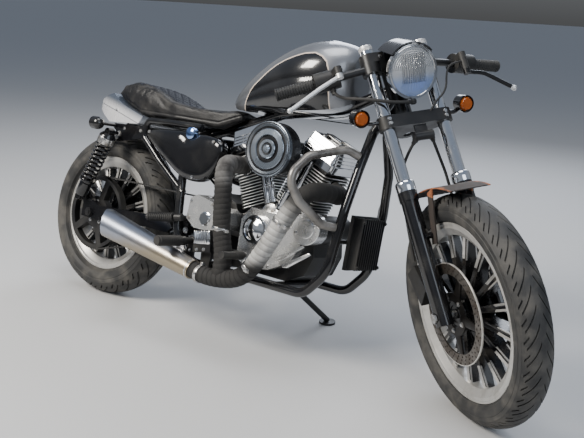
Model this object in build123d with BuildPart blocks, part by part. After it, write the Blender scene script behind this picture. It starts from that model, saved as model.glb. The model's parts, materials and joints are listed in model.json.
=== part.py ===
from build123d import *
import math
import os

# Cruiser motorcycle with an air-cooled V-twin engine, clip-on handlebars and a single seat, parked on
# its side stand with the steering on its right stop. Millimetres. Every piece is drawn on the upright
# machine: X forward from the rear axle, Y to the rider's left, Z up from the floor. The pieces of the
# fork are drawn with the steering straight, and are turned and leaned at the end of the file.

# Driving dimensions
wheelbase = 1524.0
rake = 29.6
trail = 117.0
lean_angle = 12.5
steering_turn = 39.0
running_clearance = 0.5
seat_gap = 0.3

rear_radius = 308.0
rear_drop = 14.0
rear_axle_height = rear_radius + rear_drop
rear_tyre_width = 132.0
rear_tyre_height = 91.0
rear_rim_radius = rear_radius - rear_tyre_height
rear_rim_width = 92.0
front_radius = 331.0
front_tyre_width = 100.0
front_tyre_height = 75.0
front_rim_radius = front_radius - front_tyre_height
front_rim_width = 72.0
rim_lip = 13.0
spoke_count = 16

fork_spacing = 181.0
fork_tube_radius = 19.5
fork_lower_radius = 25.5
fork_top = 822.0
fork_seal = 372.0
stem_radius = 16.0
stem_offset = front_radius * math.sin(math.radians(rake)) - trail * math.cos(math.radians(rake))

tube_radius = 15.0
cylinder_angle = 22.5
crank_x = 788.0
crank_z = 335.0
axle_radius = 9.0

sides = (-1, 1)
steering_line = Axis((wheelbase + trail, 0, 0), (-math.sin(math.radians(rake)), 0, math.cos(math.radians(rake))))

# The fork's own plane: x ahead of the tubes, y to the left, z up along the tubes from the front axle
fork_plane = Plane(
    origin=(wheelbase, 0, front_radius),
    x_dir=(math.cos(math.radians(rake)), 0, math.sin(math.radians(rake))),
    z_dir=(-math.sin(math.radians(rake)), 0, math.cos(math.radians(rake))),
)


def fork_point(ahead, left, up):
    """A point given in the fork's own plane, in the upright machine's frame."""
    return fork_plane.from_local_coords(Vector(ahead, left, up))


def round_bar(points, radius, bend):
    """A round bar along straight runs joined by arcs."""
    with BuildPart() as bar:
        with BuildLine() as route:
            if len(points) > 2:
                FilletPolyline(*points, radius=bend)
            else:
                Polyline(*points)
        with BuildSketch(Plane(route.wire() @ 0, z_dir=route.wire() % 0)):
            Circle(radius)
        sweep(path=route.wire())
    return bar.part


# Wheels: tyres, cast wheels, brake discs and the belt's pulley, each made about the Y axis
def tyre(radius, width, rim_radius, rim_width):
    bead = rim_radius - rim_lip + seat_gap
    bead_half = rim_width / 2 - 6
    shoulder = 0.94 * width / 2
    shoulder_radius = radius - 0.27 * width
    wall_radius = rim_radius + 0.45 * (shoulder_radius - rim_radius)
    with BuildPart() as body:
        with BuildSketch(Plane.YZ):
            with BuildLine():
                Polyline((-bead_half, rim_radius), (-bead_half, bead), (bead_half, bead), (bead_half, rim_radius))
                ThreePointArc((bead_half, rim_radius), (width / 2, wall_radius), (shoulder, shoulder_radius))
                ThreePointArc((shoulder, shoulder_radius), (0, radius), (-shoulder, shoulder_radius))
                ThreePointArc((-shoulder, shoulder_radius), (-width / 2, wall_radius), (-bead_half, rim_radius))
            make_face()
        revolve(axis=Axis.Y)
    return body.part


def cast_wheel(rim_radius, rim_width, hub_radius, hub_width):
    """A cast wheel: a rim with a dropped centre, a hub and straight tapered spokes."""
    half = rim_width / 2
    seat = rim_radius - rim_lip
    well = seat - 17
    with BuildPart() as wheel:
        with BuildSketch(Plane.YZ):
            with BuildLine():
                Polyline(
                    (-half, rim_radius), (5 - half, rim_radius), (5 - half, seat), (12 - half, seat - 2),
                    (18 - half, well), (half - 18, well), (half - 12, seat - 2), (half - 5, seat),
                    (half - 5, rim_radius), (half, rim_radius), (half, seat - 6), (half - 14, well - 8),
                    (14 - half, well - 8), (-half, seat - 6), close=True,
                )
            make_face()
        revolve(axis=Axis.Y)
        with BuildSketch(Plane.YZ):
            with Locations((0, (hub_radius + axle_radius) / 2)):
                Rectangle(hub_width, hub_radius - axle_radius - running_clearance)
        revolve(axis=Axis.Y)
        with BuildPart(mode=Mode.PRIVATE) as spoke:
            with BuildSketch(Plane.XY.offset(hub_radius - 8)):
                Rectangle(15, 0.5 * hub_width)
            with BuildSketch(Plane.XY.offset(well - 4)):
                Rectangle(10, 0.4 * rim_width)
            loft()
        add([spoke.part.rotate(Axis.Y, 360 * copy / spoke_count) for copy in range(spoke_count)])
    return wheel.part


def brake_disc(outer, band, carrier, bore, thickness):
    """A brake disc: a flat band held by five arms on a carrier ring."""
    with BuildPart() as disc:
        with BuildSketch(Plane.XZ):
            Circle(outer)
            Circle(outer - band, mode=Mode.SUBTRACT)
            Circle(carrier)
            with PolarLocations((carrier + outer - band) / 2, 5):
                Rectangle(outer - band - carrier + 8, 22)
            Circle(bore, mode=Mode.SUBTRACT)
        extrude(amount=thickness / 2, both=True)
    return disc.part


hub_radius = 38.0
front_hub_width = 106.0
rear_hub_width = 152.0
disc_thickness = 5.0
front_disc_radius = 146.0
front_disc_side = front_hub_width / 2 + seat_gap + disc_thickness / 2
rear_disc_radius = 146.0
rear_disc_side = rear_hub_width / 2 + seat_gap + disc_thickness / 2
belt_width = 26.0
belt_thickness = 4.0
belt_side = -(rear_hub_width / 2 + seat_gap + belt_width / 2)
rear_pulley_radius = 137.0
front_pulley_radius = 64.0
output_x = 585.0
output_z = 400.0
case_pocket = 70.0

front_tyre = tyre(front_radius, front_tyre_width, front_rim_radius, front_rim_width)
rear_tyre = tyre(rear_radius, rear_tyre_width, rear_rim_radius, rear_rim_width)
front_wheel = cast_wheel(front_rim_radius, front_rim_width, hub_radius, front_hub_width)
rear_wheel = cast_wheel(rear_rim_radius, rear_rim_width, hub_radius, rear_hub_width)
plain_disc = brake_disc(front_disc_radius, 32, 62, hub_radius + seat_gap, disc_thickness)
front_discs = Part() + [Pos(0, side * front_disc_side, 0) * plain_disc for side in (-1, 1)]
rear_disc = Pos(0, rear_disc_side, 0) * brake_disc(rear_disc_radius, 34, 56, axle_radius + 12, disc_thickness)

with BuildPart() as pulley:
    with BuildSketch(Plane.XZ):
        Circle(rear_pulley_radius)
        Circle(rear_pulley_radius - 14, mode=Mode.SUBTRACT)
        Circle(60)
        with PolarLocations(94, 5):
            Rectangle(78, 26)
        Circle(axle_radius + 12, mode=Mode.SUBTRACT)
    extrude(amount=belt_width / 2, both=True)
rear_pulley = Pos(0, belt_side, 0) * pulley.part

wheel_centre = Pos(0, 0, rear_axle_height)
front_centre = Pos(wheelbase, 0, front_radius)

# The drive belt runs round the rear pulley and the small pulley on the gearbox's output shaft
with BuildPart() as belt_drive:
    with BuildSketch(Plane.XZ.offset(-belt_side)) as loop:
        with Locations((0, rear_axle_height)):
            Circle(rear_pulley_radius + running_clearance + belt_thickness)
        with Locations((output_x, output_z)):
            Circle(front_pulley_radius + running_clearance + belt_thickness)
        make_hull()
        with BuildSketch(mode=Mode.SUBTRACT):
            with Locations((0, rear_axle_height)):
                Circle(rear_pulley_radius + running_clearance)
            with Locations((output_x, output_z)):
                Circle(front_pulley_radius + running_clearance)
            make_hull()
    extrude(amount=belt_width / 2, both=True)
    with BuildSketch(Plane.XZ.offset(-belt_side)):
        with Locations((output_x, output_z)):
            Circle(front_pulley_radius)
    extrude(amount=belt_width / 2, both=True)
    with BuildSketch(Plane.XZ.offset(case_pocket + seat_gap)):
        with Locations((output_x, output_z)):
            Circle(22)
    extrude(amount=-belt_side - case_pocket)

# Chassis: the tube frame, the swing arm with its axle, and the shock absorbers
rail_side = 128.0
rail_z = 248.0
pivot_x = 478.0
pivot_z = 345.0
arm_side = 122.0
low_clamp = (558, 596)
clamp_wall = 8.0
top_clamp = (768, 796)
head_low = low_clamp[1] + running_clearance
head_high = top_clamp[0] - running_clearance
head_radius = 29.0
plate_side = 106.0
pivot_radius = 9.0
stud_radius = 6.0


def steering_point(up):
    """A point on the steering axis, level with a height along the fork tubes."""
    return fork_point(-stem_offset, 0, up)


strut_side = 104.0
cowl_low = ((-20, 668), (158, 677))
cowl_slope = math.atan2(cowl_low[1][1] - cowl_low[0][1], cowl_low[1][0] - cowl_low[0][0])
cowl_bar_x = 100.0
cowl_bar_radius = 8.0
cowl_bar_z = (
    cowl_low[0][1] + (cowl_bar_x - cowl_low[0][0]) * math.tan(cowl_slope)
    - (cowl_bar_radius + seat_gap) / math.cos(cowl_slope)
)
case_bottom = 264.0
regulator_bar_x = 1086.0
backbone_radius = 18.0
shock_side = 157.0
shock_top = Vector(66, -shock_side, 630)
shock_foot = Vector(-40, -shock_side, 374)
downtube = [
    steering_point(660) + (-8, -16, 0), (1098, -44, 770), (1102, -96, 650), (1094, -122, 520), (1076, -rail_side, 330),
    (1004, -rail_side, rail_z), (540, -rail_side, rail_z), (448, -rail_side, 330), (420, -118, 560),
    (410, -60, 664), (420, -12, 684),
]
downtube_bends = [30, 60, 120, 120, 62, 60, 90, 60, 30]
seat_loop = [
    (470, -112, 700), (330, -112, 700), (206, -112, 696), (202, -112, 634), (307, -116, 556), (442, -124, 470),
]
seat_loop_bends = [400, 26, 26, 400]

with BuildPart() as frame:
    with BuildSketch(Plane(steering_point(head_low), z_dir=fork_plane.z_dir)):
        Circle(head_radius)
    extrude(amount=head_high - head_low)
    add(round_bar([steering_point(head_high - 60), (960, 0, 835), (720, 0, 792), (556, 0, 728), (420, 0, 684)],
                  backbone_radius, [160, 100, 100]))
    add(round_bar(downtube, tube_radius, downtube_bends))
    add(round_bar(seat_loop, 12.5, seat_loop_bends))
    add(round_bar([(pivot_x, -plate_side - 10, pivot_z), (pivot_x, 0, pivot_z)], pivot_radius, []))
    with BuildSketch(Plane.XZ.offset(plate_side)):
        with Locations((pivot_x - 18, pivot_z)):
            RectangleRounded(54, 96, 12)
    extrude(amount=12)
    with BuildSketch(Plane.XZ.offset(strut_side)):
        Polygon(
            (206, 688), (196, 628), (60, 600), (46, 640), (34, 648), (34, 666), (80, 668), (170, 668), align=None,
        )
    extrude(amount=8)
    add(round_bar([(cowl_bar_x, -strut_side - 4, cowl_bar_z), (cowl_bar_x, 0, cowl_bar_z)], cowl_bar_radius, []))
    for x in (600, 900):
        add(round_bar([(x, -rail_side, case_bottom - 12 - seat_gap), (x, 0, case_bottom - 12 - seat_gap)], 12, []))
    add(round_bar([(regulator_bar_x, -125, 430), (regulator_bar_x, 0, 430)], 8, []))
    add(round_bar([(shock_top.X, -108, shock_top.Z), (shock_top.X, -shock_side - 16, shock_top.Z)], stud_radius, []))
    add(round_bar([(405, -118, 620), (405, 0, 620)], 12, []))
    add(round_bar([(210, -104, 690), (210, 0, 690)], 10, []))
    mirror(about=Plane.XZ)
    with BuildSketch(Plane(steering_point(head_low), z_dir=fork_plane.z_dir)):
        Circle(stem_radius + running_clearance)
    extrude(amount=head_high - head_low, mode=Mode.SUBTRACT)

arm_rise = ((40, 352), (300, 368))


def arm_top(x):
    """The height of the swing arm's top edge ahead of the axle."""
    (low_x, low_z), (high_x, high_z) = arm_rise
    return low_z + (high_z - low_z) * (x - low_x) / (high_x - low_x)


with BuildPart() as swingarm:
    with BuildSketch(Plane.XZ.offset(arm_side)) as side_plate:
        with BuildLine():
            Polyline(
                (-46, 300), (-46, 352), (-60, 376), (-42, 396), (-20, 378), *arm_rise, (404, 369),
                (424, pivot_z), (404, 321), (300, 322), (40, 300), close=True,
            )
        make_face()
        with Locations((0, rear_axle_height)):
            Circle(axle_radius + seat_gap, mode=Mode.SUBTRACT)
    extrude(amount=10, both=True)
    add(round_bar([(400, -arm_side, pivot_z), (400, 0, pivot_z)], 22, []))
    with BuildSketch(Plane.XZ.offset(70)):
        with BuildLine():
            Polyline((392, pivot_z - 20), (pivot_x, pivot_z - 20))
            ThreePointArc((pivot_x, pivot_z - 20), (pivot_x + 20, pivot_z), (pivot_x, pivot_z + 20))
            Polyline((pivot_x, pivot_z + 20), (392, pivot_z + 20), (392, pivot_z - 20))
        make_face()
        with Locations((pivot_x, pivot_z)):
            Circle(pivot_radius + seat_gap, mode=Mode.SUBTRACT)
    extrude(amount=plate_side - 70 - seat_gap)
    add(round_bar([(shock_foot.X, -arm_side, shock_foot.Z), (shock_foot.X, -shock_side - 16, shock_foot.Z)], stud_radius, []))
    mirror(about=Plane.XZ)

with BuildPart() as rear_axle:
    with BuildSketch(Plane.XZ.offset(-arm_side - 26)):
        with Locations((0, rear_axle_height)):
            Circle(axle_radius)
    extrude(amount=2 * arm_side + 52)
    for side in (-1, 1):
        with BuildSketch(Plane.XZ.offset(side * (arm_side + 10 + seat_gap))):
            with Locations((0, rear_axle_height)):
                RegularPolygon(17, 6)
        extrude(amount=side * 12)

shock_length = (shock_top - shock_foot).length
shock_plane = Plane(shock_foot, x_dir=(0, 1, 0), z_dir=shock_top - shock_foot)
eye_radius = 14.0

with BuildPart() as shock_bodies:
    for end in (0, shock_length):
        with BuildSketch(Plane(shock_plane.from_local_coords(Vector(0, 0, end)), z_dir=(0, 1, 0))):
            Circle(eye_radius)
        extrude(amount=14, both=True)
    with BuildSketch(shock_plane.offset(8)):
        Circle(23)
    extrude(amount=62)
    with BuildSketch(shock_plane.offset(70)):
        Circle(30)
    extrude(amount=6)
    with BuildSketch(shock_plane.offset(70)):
        Circle(9)
    extrude(amount=shock_length - 90)
    with BuildSketch(shock_plane.offset(shock_length - 88)):
        Circle(31)
        Circle(28, mode=Mode.SUBTRACT)
    extrude(amount=70)
    with BuildSketch(shock_plane.offset(shock_length - 24)):
        Circle(31)
    extrude(amount=12)
    for end in (0, shock_length):
        with BuildSketch(Plane(shock_plane.from_local_coords(Vector(0, 0, end)), z_dir=(0, 1, 0))):
            Circle(stud_radius + seat_gap)
        extrude(amount=40, both=True, mode=Mode.SUBTRACT)
    mirror(about=Plane.XZ)

spring_turns = 9
spring_pitch = (shock_length - 24 - 76 - 2 * seat_gap) / spring_turns
with BuildPart() as shock_springs:
    with BuildSketch(Plane.XZ):
        with BuildLine():
            rows = [(15.0, 0.0)]
            for turn in range(spring_turns):
                rows += [(22.5, turn * spring_pitch), (26.5, (turn + 0.5) * spring_pitch)]
            rows += [(22.5, spring_turns * spring_pitch), (15.0, spring_turns * spring_pitch)]
            Polyline(*rows, close=True)
        make_face()
    revolve(axis=Axis.Z)
spring = Location(shock_plane) * Pos(0, 0, 76 + seat_gap) * shock_springs.part
springs = Part() + [spring, spring.mirror(Plane.XZ)]

# Tank, seat, tail and the tanks under the seat
# Sections of the fuel tank: x, half width at the widest, lowest z, widest z, top z
tank_sections = [
    (530, 34, 790, 806, 828), (640, 92, 784, 846, 932), (770, 124, 797, 888, 1010),
    (880, 128, 808, 910, 1038), (950, 104, 822, 922, 1036), (1000, 52, 850, 930, 1018),
]
with BuildPart() as fuel_tank:
    for x, half, low, wide, top in tank_sections:
        with BuildSketch(Plane.YZ.offset(x)):
            with BuildLine():
                Line((-0.8 * half, low), (0.8 * half, low))
                ThreePointArc((0.8 * half, low), (0.97 * half, 0.6 * low + 0.4 * wide), (half, wide))
                ThreePointArc((half, wide), (0.76 * half, 0.22 * wide + 0.78 * top), (0, top))
                ThreePointArc((0, top), (-0.76 * half, 0.22 * wide + 0.78 * top), (-half, wide))
                ThreePointArc((-half, wide), (-0.97 * half, 0.6 * low + 0.4 * wide), (-0.8 * half, low))
            make_face()
    loft()
    with BuildSketch(Plane.XZ):
        Polygon((500, 700), (500, 742), (556, 758), (720, 820), (960, 864), (1020, 886), (1020, 700), align=None)
    extrude(amount=backbone_radius + seat_gap, both=True, mode=Mode.SUBTRACT)
    with BuildSketch(Plane.XY.offset(1022 - seat_gap)):
        with Locations((884, 0)):
            Circle(36 + seat_gap)
    extrude(amount=60, mode=Mode.SUBTRACT)

with BuildPart() as seat:
    with BuildSketch(Plane.XZ):
        with BuildLine():
            Polyline((60, 742), (150, 716), (200, 713), (500, 713), (585, 752))
            ThreePointArc((585, 752), (580, 773), (560, 778))
            ThreePointArc((560, 778), (420, 764), (290, 775))
            ThreePointArc((290, 775), (190, 811), (80, 828))
            Polyline((80, 828), (20, 815), (-14, 779), (60, 742))
        make_face()
    extrude(amount=120, both=True)
    with BuildSketch(Plane.XY.offset(600)):
        with BuildLine():
            Polyline((-20, -74), (150, -104), (330, -112), (470, -84), (590, -46), (590, 46))
            Polyline((590, 46), (470, 84), (330, 112), (150, 104), (-20, 74), (-20, -74))
        make_face()
    extrude(amount=300, mode=Mode.INTERSECT)
    with BuildSketch(Plane.XZ):
        Polygon((420, 700), (420, 714), (470, 725), (556, 755), (600, 771), (600, 700), align=None)
    extrude(amount=22, both=True, mode=Mode.SUBTRACT)

with BuildPart() as tail_cowl:
    with BuildSketch(Plane.XZ):
        with BuildLine():
            Polyline((-152, 742), (-146, 716), *cowl_low, (178, 706), (150, 714), (59, 740), (-16, 777))
            ThreePointArc((-16, 777), (-84, 763), (-152, 742))
        make_face()
    extrude(amount=120, both=True)
    with BuildSketch(Plane.XY.offset(600)):
        with BuildLine():
            Polyline((214, -110), (214, 110))
            ThreePointArc((214, 110), (0, 96), (-130, 40))
            ThreePointArc((-130, 40), (-154, 0), (-130, -40))
            ThreePointArc((-130, -40), (0, -96), (214, -110))
        make_face()
    extrude(amount=300, mode=Mode.INTERSECT)

cap_centre = (458, 676)
upright_low, upright_high = downtube[7], downtube[8]
upright_lean = (upright_high[0] - upright_low[0]) / (upright_high[2] - upright_low[2])
tank_back = upright_low[0] + upright_lean * (516 - upright_low[2]) + tube_radius + 2 * seat_gap
with BuildPart() as side_tanks:
    with BuildSketch(Plane.XZ.offset(140)):
        Polygon(
            (240, 664), (330, 680), (590, 676), (616, 648), (590, 560), (546, 512), (452, 512), (330, 580), (240, 638),
            align=None,
        )
    extrude(amount=20)
    with BuildSketch(Plane.XZ.offset(92)):
        Polygon((tank_back, 672), (600, 672), (600, 560), (546, 516), (tank_back, 516), align=None)
    extrude(amount=48)
    mirror(about=Plane.XZ)
    with BuildSketch(Plane.XZ.offset(136)):
        with Locations(cap_centre):
            Circle(30)
    extrude(amount=30, mode=Mode.SUBTRACT)

with BuildPart() as filler_caps:
    with BuildSketch(Plane.XZ.offset(136)):
        with Locations(cap_centre):
            Circle(21)
    extrude(amount=22)
    with BuildSketch(Plane.XY.offset(1022)):
        with Locations((884, 0)):
            Circle(36)
    extrude(amount=22)

# Engine: crankcase, finned cylinders, rocker boxes, covers, air cleaner and pushrod tubes
case_half = 84.0
deck = 148.0
head_start = 262.0
rocker_start = 345.0
rocker_end = 425.0
cam_centre = (783, 407)
generator_centre = (978, 447)
cam_face = 132.0
fin_pitch = 10.0
fin_thickness = 3.0
barrel_radius = 54.0
fin_reach = 75.0


def cylinder_plane(tilt, up):
    """A plane across a cylinder's axis, x ahead, at a height above the crankshaft."""
    axis = Vector(math.sin(math.radians(tilt)), 0, math.cos(math.radians(tilt)))
    ahead = Vector(math.cos(math.radians(tilt)), 0, -math.sin(math.radians(tilt)))
    return Plane(Vector(crank_x, 0, crank_z) + axis * up, x_dir=ahead, z_dir=axis)


tilts = (-cylinder_angle, cylinder_angle)
pushrods = ((tilts[0], 46), (tilts[0], 68), (tilts[1], -30), (tilts[1], -4))
pushrod_side = 70.0
pushrod_radius = 9.0
pushrod_start = 153.0
with BuildPart() as crankcase:
    with BuildSketch(Plane.XZ):
        Polygon(
            (520, 296), (560, case_bottom), (900, case_bottom), (968, 296), (992, 360), (984, 410), (940, 424), (860, 456),
            (788, 440), (716, 456), (658, 432), (640, 470), (560, 494), (516, 462), align=None,
        )
    extrude(amount=case_half, both=True)
    with BuildSketch(Plane.XZ.offset(case_pocket)):
        Polygon((500, 250), (500, 520), (686, 520), (686, 250), align=None)
    extrude(amount=40, mode=Mode.SUBTRACT)
    with BuildSketch(Plane.XZ.offset(-70)):
        with Locations(generator_centre):
            Circle(46)
    extrude(amount=70 + case_half)
    for tilt in tilts:
        with BuildSketch(cylinder_plane(tilt, 90)):
            RectangleRounded(128, 128, 20)
        extrude(amount=deck - 90)
    for tilt, ahead in pushrods:
        with BuildSketch(cylinder_plane(tilt, 90)):
            with Locations((ahead, -pushrod_side)):
                Circle(pushrod_radius + 3.5)
        extrude(amount=pushrod_start - seat_gap - 90)

port_radius = 24.0
front_port = cylinder_plane(tilts[1], 299)
front_port = Plane(front_port.origin + Vector(0, -34, 0), x_dir=(0, 1, 0), z_dir=front_port.x_dir)
port_reach = 82.0
rear_port = (672, 600)
rear_port_side = 84.0
with BuildPart() as cylinders:
    for tilt in tilts:
        with BuildSketch(cylinder_plane(tilt, deck + seat_gap)):
            Circle(barrel_radius)
        extrude(amount=head_start - deck)
        with BuildSketch(cylinder_plane(tilt, head_start)):
            Rectangle(104, 112)
        extrude(amount=rocker_start - seat_gap - head_start)
        height = deck + fin_pitch
        while height < rocker_start - fin_pitch:
            with BuildSketch(cylinder_plane(tilt, height)):
                RectangleRounded(142, 148, 24) if height < head_start else RectangleRounded(2 * fin_reach, 156, 14)
            extrude(amount=fin_thickness)
            height += fin_pitch
    with BuildSketch(front_port.offset(40)):
        Circle(port_radius)
    extrude(amount=port_reach - seat_gap - 40)
    with BuildSketch(Plane.XZ.offset(50)):
        with Locations(rear_port):
            Circle(port_radius)
    extrude(amount=rear_port_side - seat_gap - 50)
    with BuildSketch(Plane.XY.offset(crank_z)):
        with Locations((crank_x, 0)):
            Rectangle(7, 200)
    extrude(amount=260, mode=Mode.SUBTRACT)
    for tilt, ahead in pushrods:
        with BuildSketch(cylinder_plane(tilt, 90)):
            with Locations((ahead, -pushrod_side)):
                Circle(pushrod_radius + 4.5)
            with Locations((ahead, -pushrod_side - 20)):
                Rectangle(2 * pushrod_radius + 9, 40)
        extrude(amount=rocker_start - 90, mode=Mode.SUBTRACT)

with BuildPart() as rocker_covers:
    for tilt in tilts:
        with BuildSketch(cylinder_plane(tilt, rocker_start)):
            RectangleRounded(154, 158, 12)
        extrude(amount=26)
        with BuildSketch(cylinder_plane(tilt, rocker_start + 26)):
            RectangleRounded(144, 148, 16)
        extrude(amount=rocker_end - rocker_start - 26, taper=14)

air_centre = (815, 668)
intake_lift = (crank_x - cylinder_plane(tilts[0], 300).from_local_coords(Vector(fin_reach, 0, 0)).X)
intake_z = (
    cylinder_plane(tilts[0], 300).from_local_coords(Vector(fin_reach, 0, 0)).Z
    + intake_lift * math.tan(math.radians(cylinder_angle))
)
with BuildPart() as air_cleaner:
    with BuildSketch(Plane.XZ.offset(118)):
        with Locations(air_centre):
            Circle(84)
    extrude(amount=8)
    with BuildSketch(Plane.XZ.offset(126)):
        with Locations(air_centre):
            Circle(87)
    extrude(amount=56)
    with BuildSketch(Plane.XZ.offset(182)):
        with Locations(air_centre):
            Circle(80)
    extrude(amount=6)
    with BuildSketch(Plane.XZ.offset(188)):
        with Locations(air_centre):
            Circle(9)
    extrude(amount=6)
    with BuildSketch(Plane.XZ.offset(10)):
        with Locations((crank_x, intake_z)):
            Circle(26)
    extrude(amount=108)
    for tilt in tilts:
        intake_face = cylinder_plane(tilt, 300)
        reach = math.copysign(fin_reach + seat_gap, -tilt)
        meeting = Vector(crank_x, -34, intake_z)
        head_end = intake_face.from_local_coords(Vector(reach, -34, 0))
        add(round_bar([head_end, meeting], 20, []))

cover_gap = seat_gap
primary_depth = 64.0
with BuildPart() as engine_covers:
    with BuildSketch(Plane.XZ.offset(case_half + cover_gap)):
        Polygon(
            (716, 300), (770, 278), (850, 290), (930, 330), (960, 400), (900, 452), (840, 470), (744, 474), (712, 430),
            align=None,
        )
    extrude(amount=cam_face - case_half - 14)
    with BuildSketch(Plane.XZ.offset(case_half + cover_gap)):
        with Locations(cam_centre):
            Circle(46)
    extrude(amount=cam_face - case_half)
    with BuildSketch(Plane.XZ.offset(case_half + cover_gap)):
        with Locations(generator_centre):
            Circle(50)
    extrude(amount=cam_face - case_half)
    with BuildSketch(Plane.XZ.offset(case_pocket + cover_gap)):
        Polygon(
            (506, 462), (500, 392), (540, 366), (660, 366), (680, 400), (672, 440), (612, 462), (536, 478), align=None,
        )
    extrude(amount=80)
    with BuildSketch(Plane.XZ.offset(70)):
        with Locations((0, rear_axle_height)):
            Circle(rear_pulley_radius + belt_thickness + 8)
        with Locations((output_x, output_z)):
            Circle(front_pulley_radius + belt_thickness + 8)
        make_hull()
    extrude(amount=-belt_side + belt_width / 2 + 6 - 70, mode=Mode.SUBTRACT)
    with BuildSketch(Plane.XZ.offset(-case_half - cover_gap)):
        with Locations((crank_x, 352)):
            Circle(82)
        with Locations((580, 378)):
            Circle(80)
        make_hull()
    extrude(amount=-primary_depth)

with BuildPart() as pushrod_tubes:
    for tilt, ahead in pushrods:
        with BuildSketch(cylinder_plane(tilt, pushrod_start)):
            with Locations((ahead, -pushrod_side)):
                Circle(pushrod_radius)
        extrude(amount=rocker_start - seat_gap - pushrod_start)

# Exhaust: two wrapped pipes run into one collector, and a slash-cut muffler follows it
pipe_radius = 26.0
muffler_start = Vector(620, -208, 239)
muffler_end = Vector(196, -222, 316)
muffler_way = (muffler_end - muffler_start).normalized()
front_pipe_route = [
    front_port.from_local_coords(Vector(0, 0, port_reach)),
    front_port.from_local_coords(Vector(0, 0, port_reach + 60)),
    (1030, -150, 574), (980, -202, 552), (880, -206, 340), (820, -204, 252),
    muffler_start - muffler_way * 50, muffler_start + muffler_way * 34,
]
rear_pipe_route = [
    (rear_port[0], -rear_port_side, rear_port[1]), (rear_port[0], -206, rear_port[1]), (704, -206, 400),
    (742, -206, 288), (730, -204, 236),
]
with BuildPart() as exhaust_pipes:
    add(round_bar(front_pipe_route, pipe_radius, [36, 50, 40, 200, 60, 60]))
    add(round_bar(rear_pipe_route, pipe_radius, [60, 200, 24]))

muffler_neck = 33.0
muffler_radius = 50.0
muffler_length = (muffler_end - muffler_start).length
muffler_plane = Plane(muffler_start, x_dir=(0, 1, 0), z_dir=muffler_end - muffler_start)
with BuildPart() as muffler:
    with BuildSketch(muffler_plane):
        Circle(muffler_neck)
    with BuildSketch(muffler_plane.offset(muffler_length)):
        Circle(muffler_radius)
    loft()
    with BuildSketch(muffler_plane):
        Circle(pipe_radius + seat_gap)
    extrude(amount=40, mode=Mode.SUBTRACT)
    with BuildSketch(muffler_plane.offset(muffler_length - 160)):
        Circle(muffler_radius - 9)
    extrude(amount=200, mode=Mode.SUBTRACT)
    split(bisect_by=Plane(muffler_end, x_dir=(0, 0, 1), z_dir=(-1, -0.5, 0)), keep=Keep.BOTTOM)

# Foot controls, engine guard, regulator and the small pieces of the chassis
with BuildPart() as foot_pegs:
    with BuildSketch(Plane.XZ.offset(149)):
        with Locations((548, 288)):
            RectangleRounded(32, 100, 12)
    extrude(amount=9)
    with BuildSketch(Plane.XZ.offset(rail_side + tube_radius + seat_gap)):
        with Locations((548, rail_z)):
            Circle(10)
    extrude(amount=8)
    add(round_bar([(548, -156, 322), (544, -190, 320)], 11, []))
    add(round_bar([(544, -188, 320), (532, -306, 316)], 15, []))
    add(round_bar([(478, -119.6, 384), (484, -166, 390)], 9, []))
    add(round_bar([(494, -164, 391), (360, -190, 368)], 13, []))
    mirror(about=Plane.XZ)

with BuildPart() as foot_brake:
    with BuildSketch(Plane.XZ.offset(152)):
        Polygon((572, 362), (644, 376), (656, 304), (584, 290), align=None)
    extrude(amount=30)
    with BuildSketch(Plane.XZ.offset(rail_side + tube_radius + seat_gap)):
        Polygon((594, 316), (642, 322), (636, 240), (600, 240), align=None)
    extrude(amount=12)
    with BuildSketch(Plane.XZ.offset(-case_half - primary_depth - 2 * seat_gap)):
        with Locations((640, 322)):
            Circle(11)
    extrude(amount=-26)
    for side in sides:
        add(round_bar([(640, side * 162, 322), (800, side * 162, 326), (800, side * 240, 326)], 8, [30]))
        with BuildSketch(Plane.XZ.offset(-side * 236)):
            with Locations((800, 326)):
                Circle(12)
        extrude(amount=-side * 62)

guard_tube = 13.0
guard_ends = []
for low, high, height, toward in (
    (Vector(1102, -96, 650), Vector(1098, -44, 770), 688, Vector(1040, -200, 676)),
    (Vector(1076, -128, 330), Vector(1094, -122, 520), 470, Vector(1030, -230, 520)),
):
    run = (high - low).normalized()
    root = low + run * ((height - low.Z) / run.Z)
    away = toward - root
    away = (away - run * away.dot(run)).normalized()
    guard_ends.append((root + away * (tube_radius + seat_gap), root + away * (tube_radius + 46)))
guard_route = [
    *guard_ends[0],
    (1014, -240, 668), (998, -306, 598), (1016, -250, 532),
    *reversed(guard_ends[1]),
]
with BuildPart() as engine_guard:
    add(round_bar(guard_route, guard_tube, [60, 50, 46, 40, 40]))
    mirror(about=Plane.XZ)

with BuildPart() as regulator:
    regulator_back = regulator_bar_x + 8 + seat_gap
    with BuildSketch(Plane.YZ.offset(regulator_back)):
        with Locations((0, 430)):
            Rectangle(150, 170)
    extrude(amount=13)
    for row in range(-5, 6):
        with BuildSketch(Plane.YZ.offset(regulator_back + 12)):
            with Locations((13 * row, 430)):
                Rectangle(4, 160)
        extrude(amount=30)

signal_radius = 23.0
with BuildPart() as rear_signals:
    with BuildSketch(Plane.XY):
        with BuildLine():
            nose = CenterArc((0, 0), signal_radius, 0, 90)
            Polyline(nose @ 1, (0, -28), (signal_radius - 4, -28), (signal_radius, -24), nose @ 0)
        make_face()
    revolve(axis=Axis.Y)
rear_signal = Part() + [
    Pos(44, -199, 655) * Rotation(0, 0, -90) * rear_signals.part,
    round_bar([(42, -strut_side - 8 - seat_gap, 657), (44, -180, 656)], 6, []),
]
rear_signal_pair = rear_signal + rear_signal.mirror(Plane.XZ)

with BuildPart() as plate_strip:
    with BuildSketch(Plane.XZ.offset(100.7)):
        Polygon((72, 622), (10, 634), (-26, 624), (-68, 532), (-42, 522), (-8, 602), (68, 606), align=None)
    extrude(amount=3)

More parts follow.
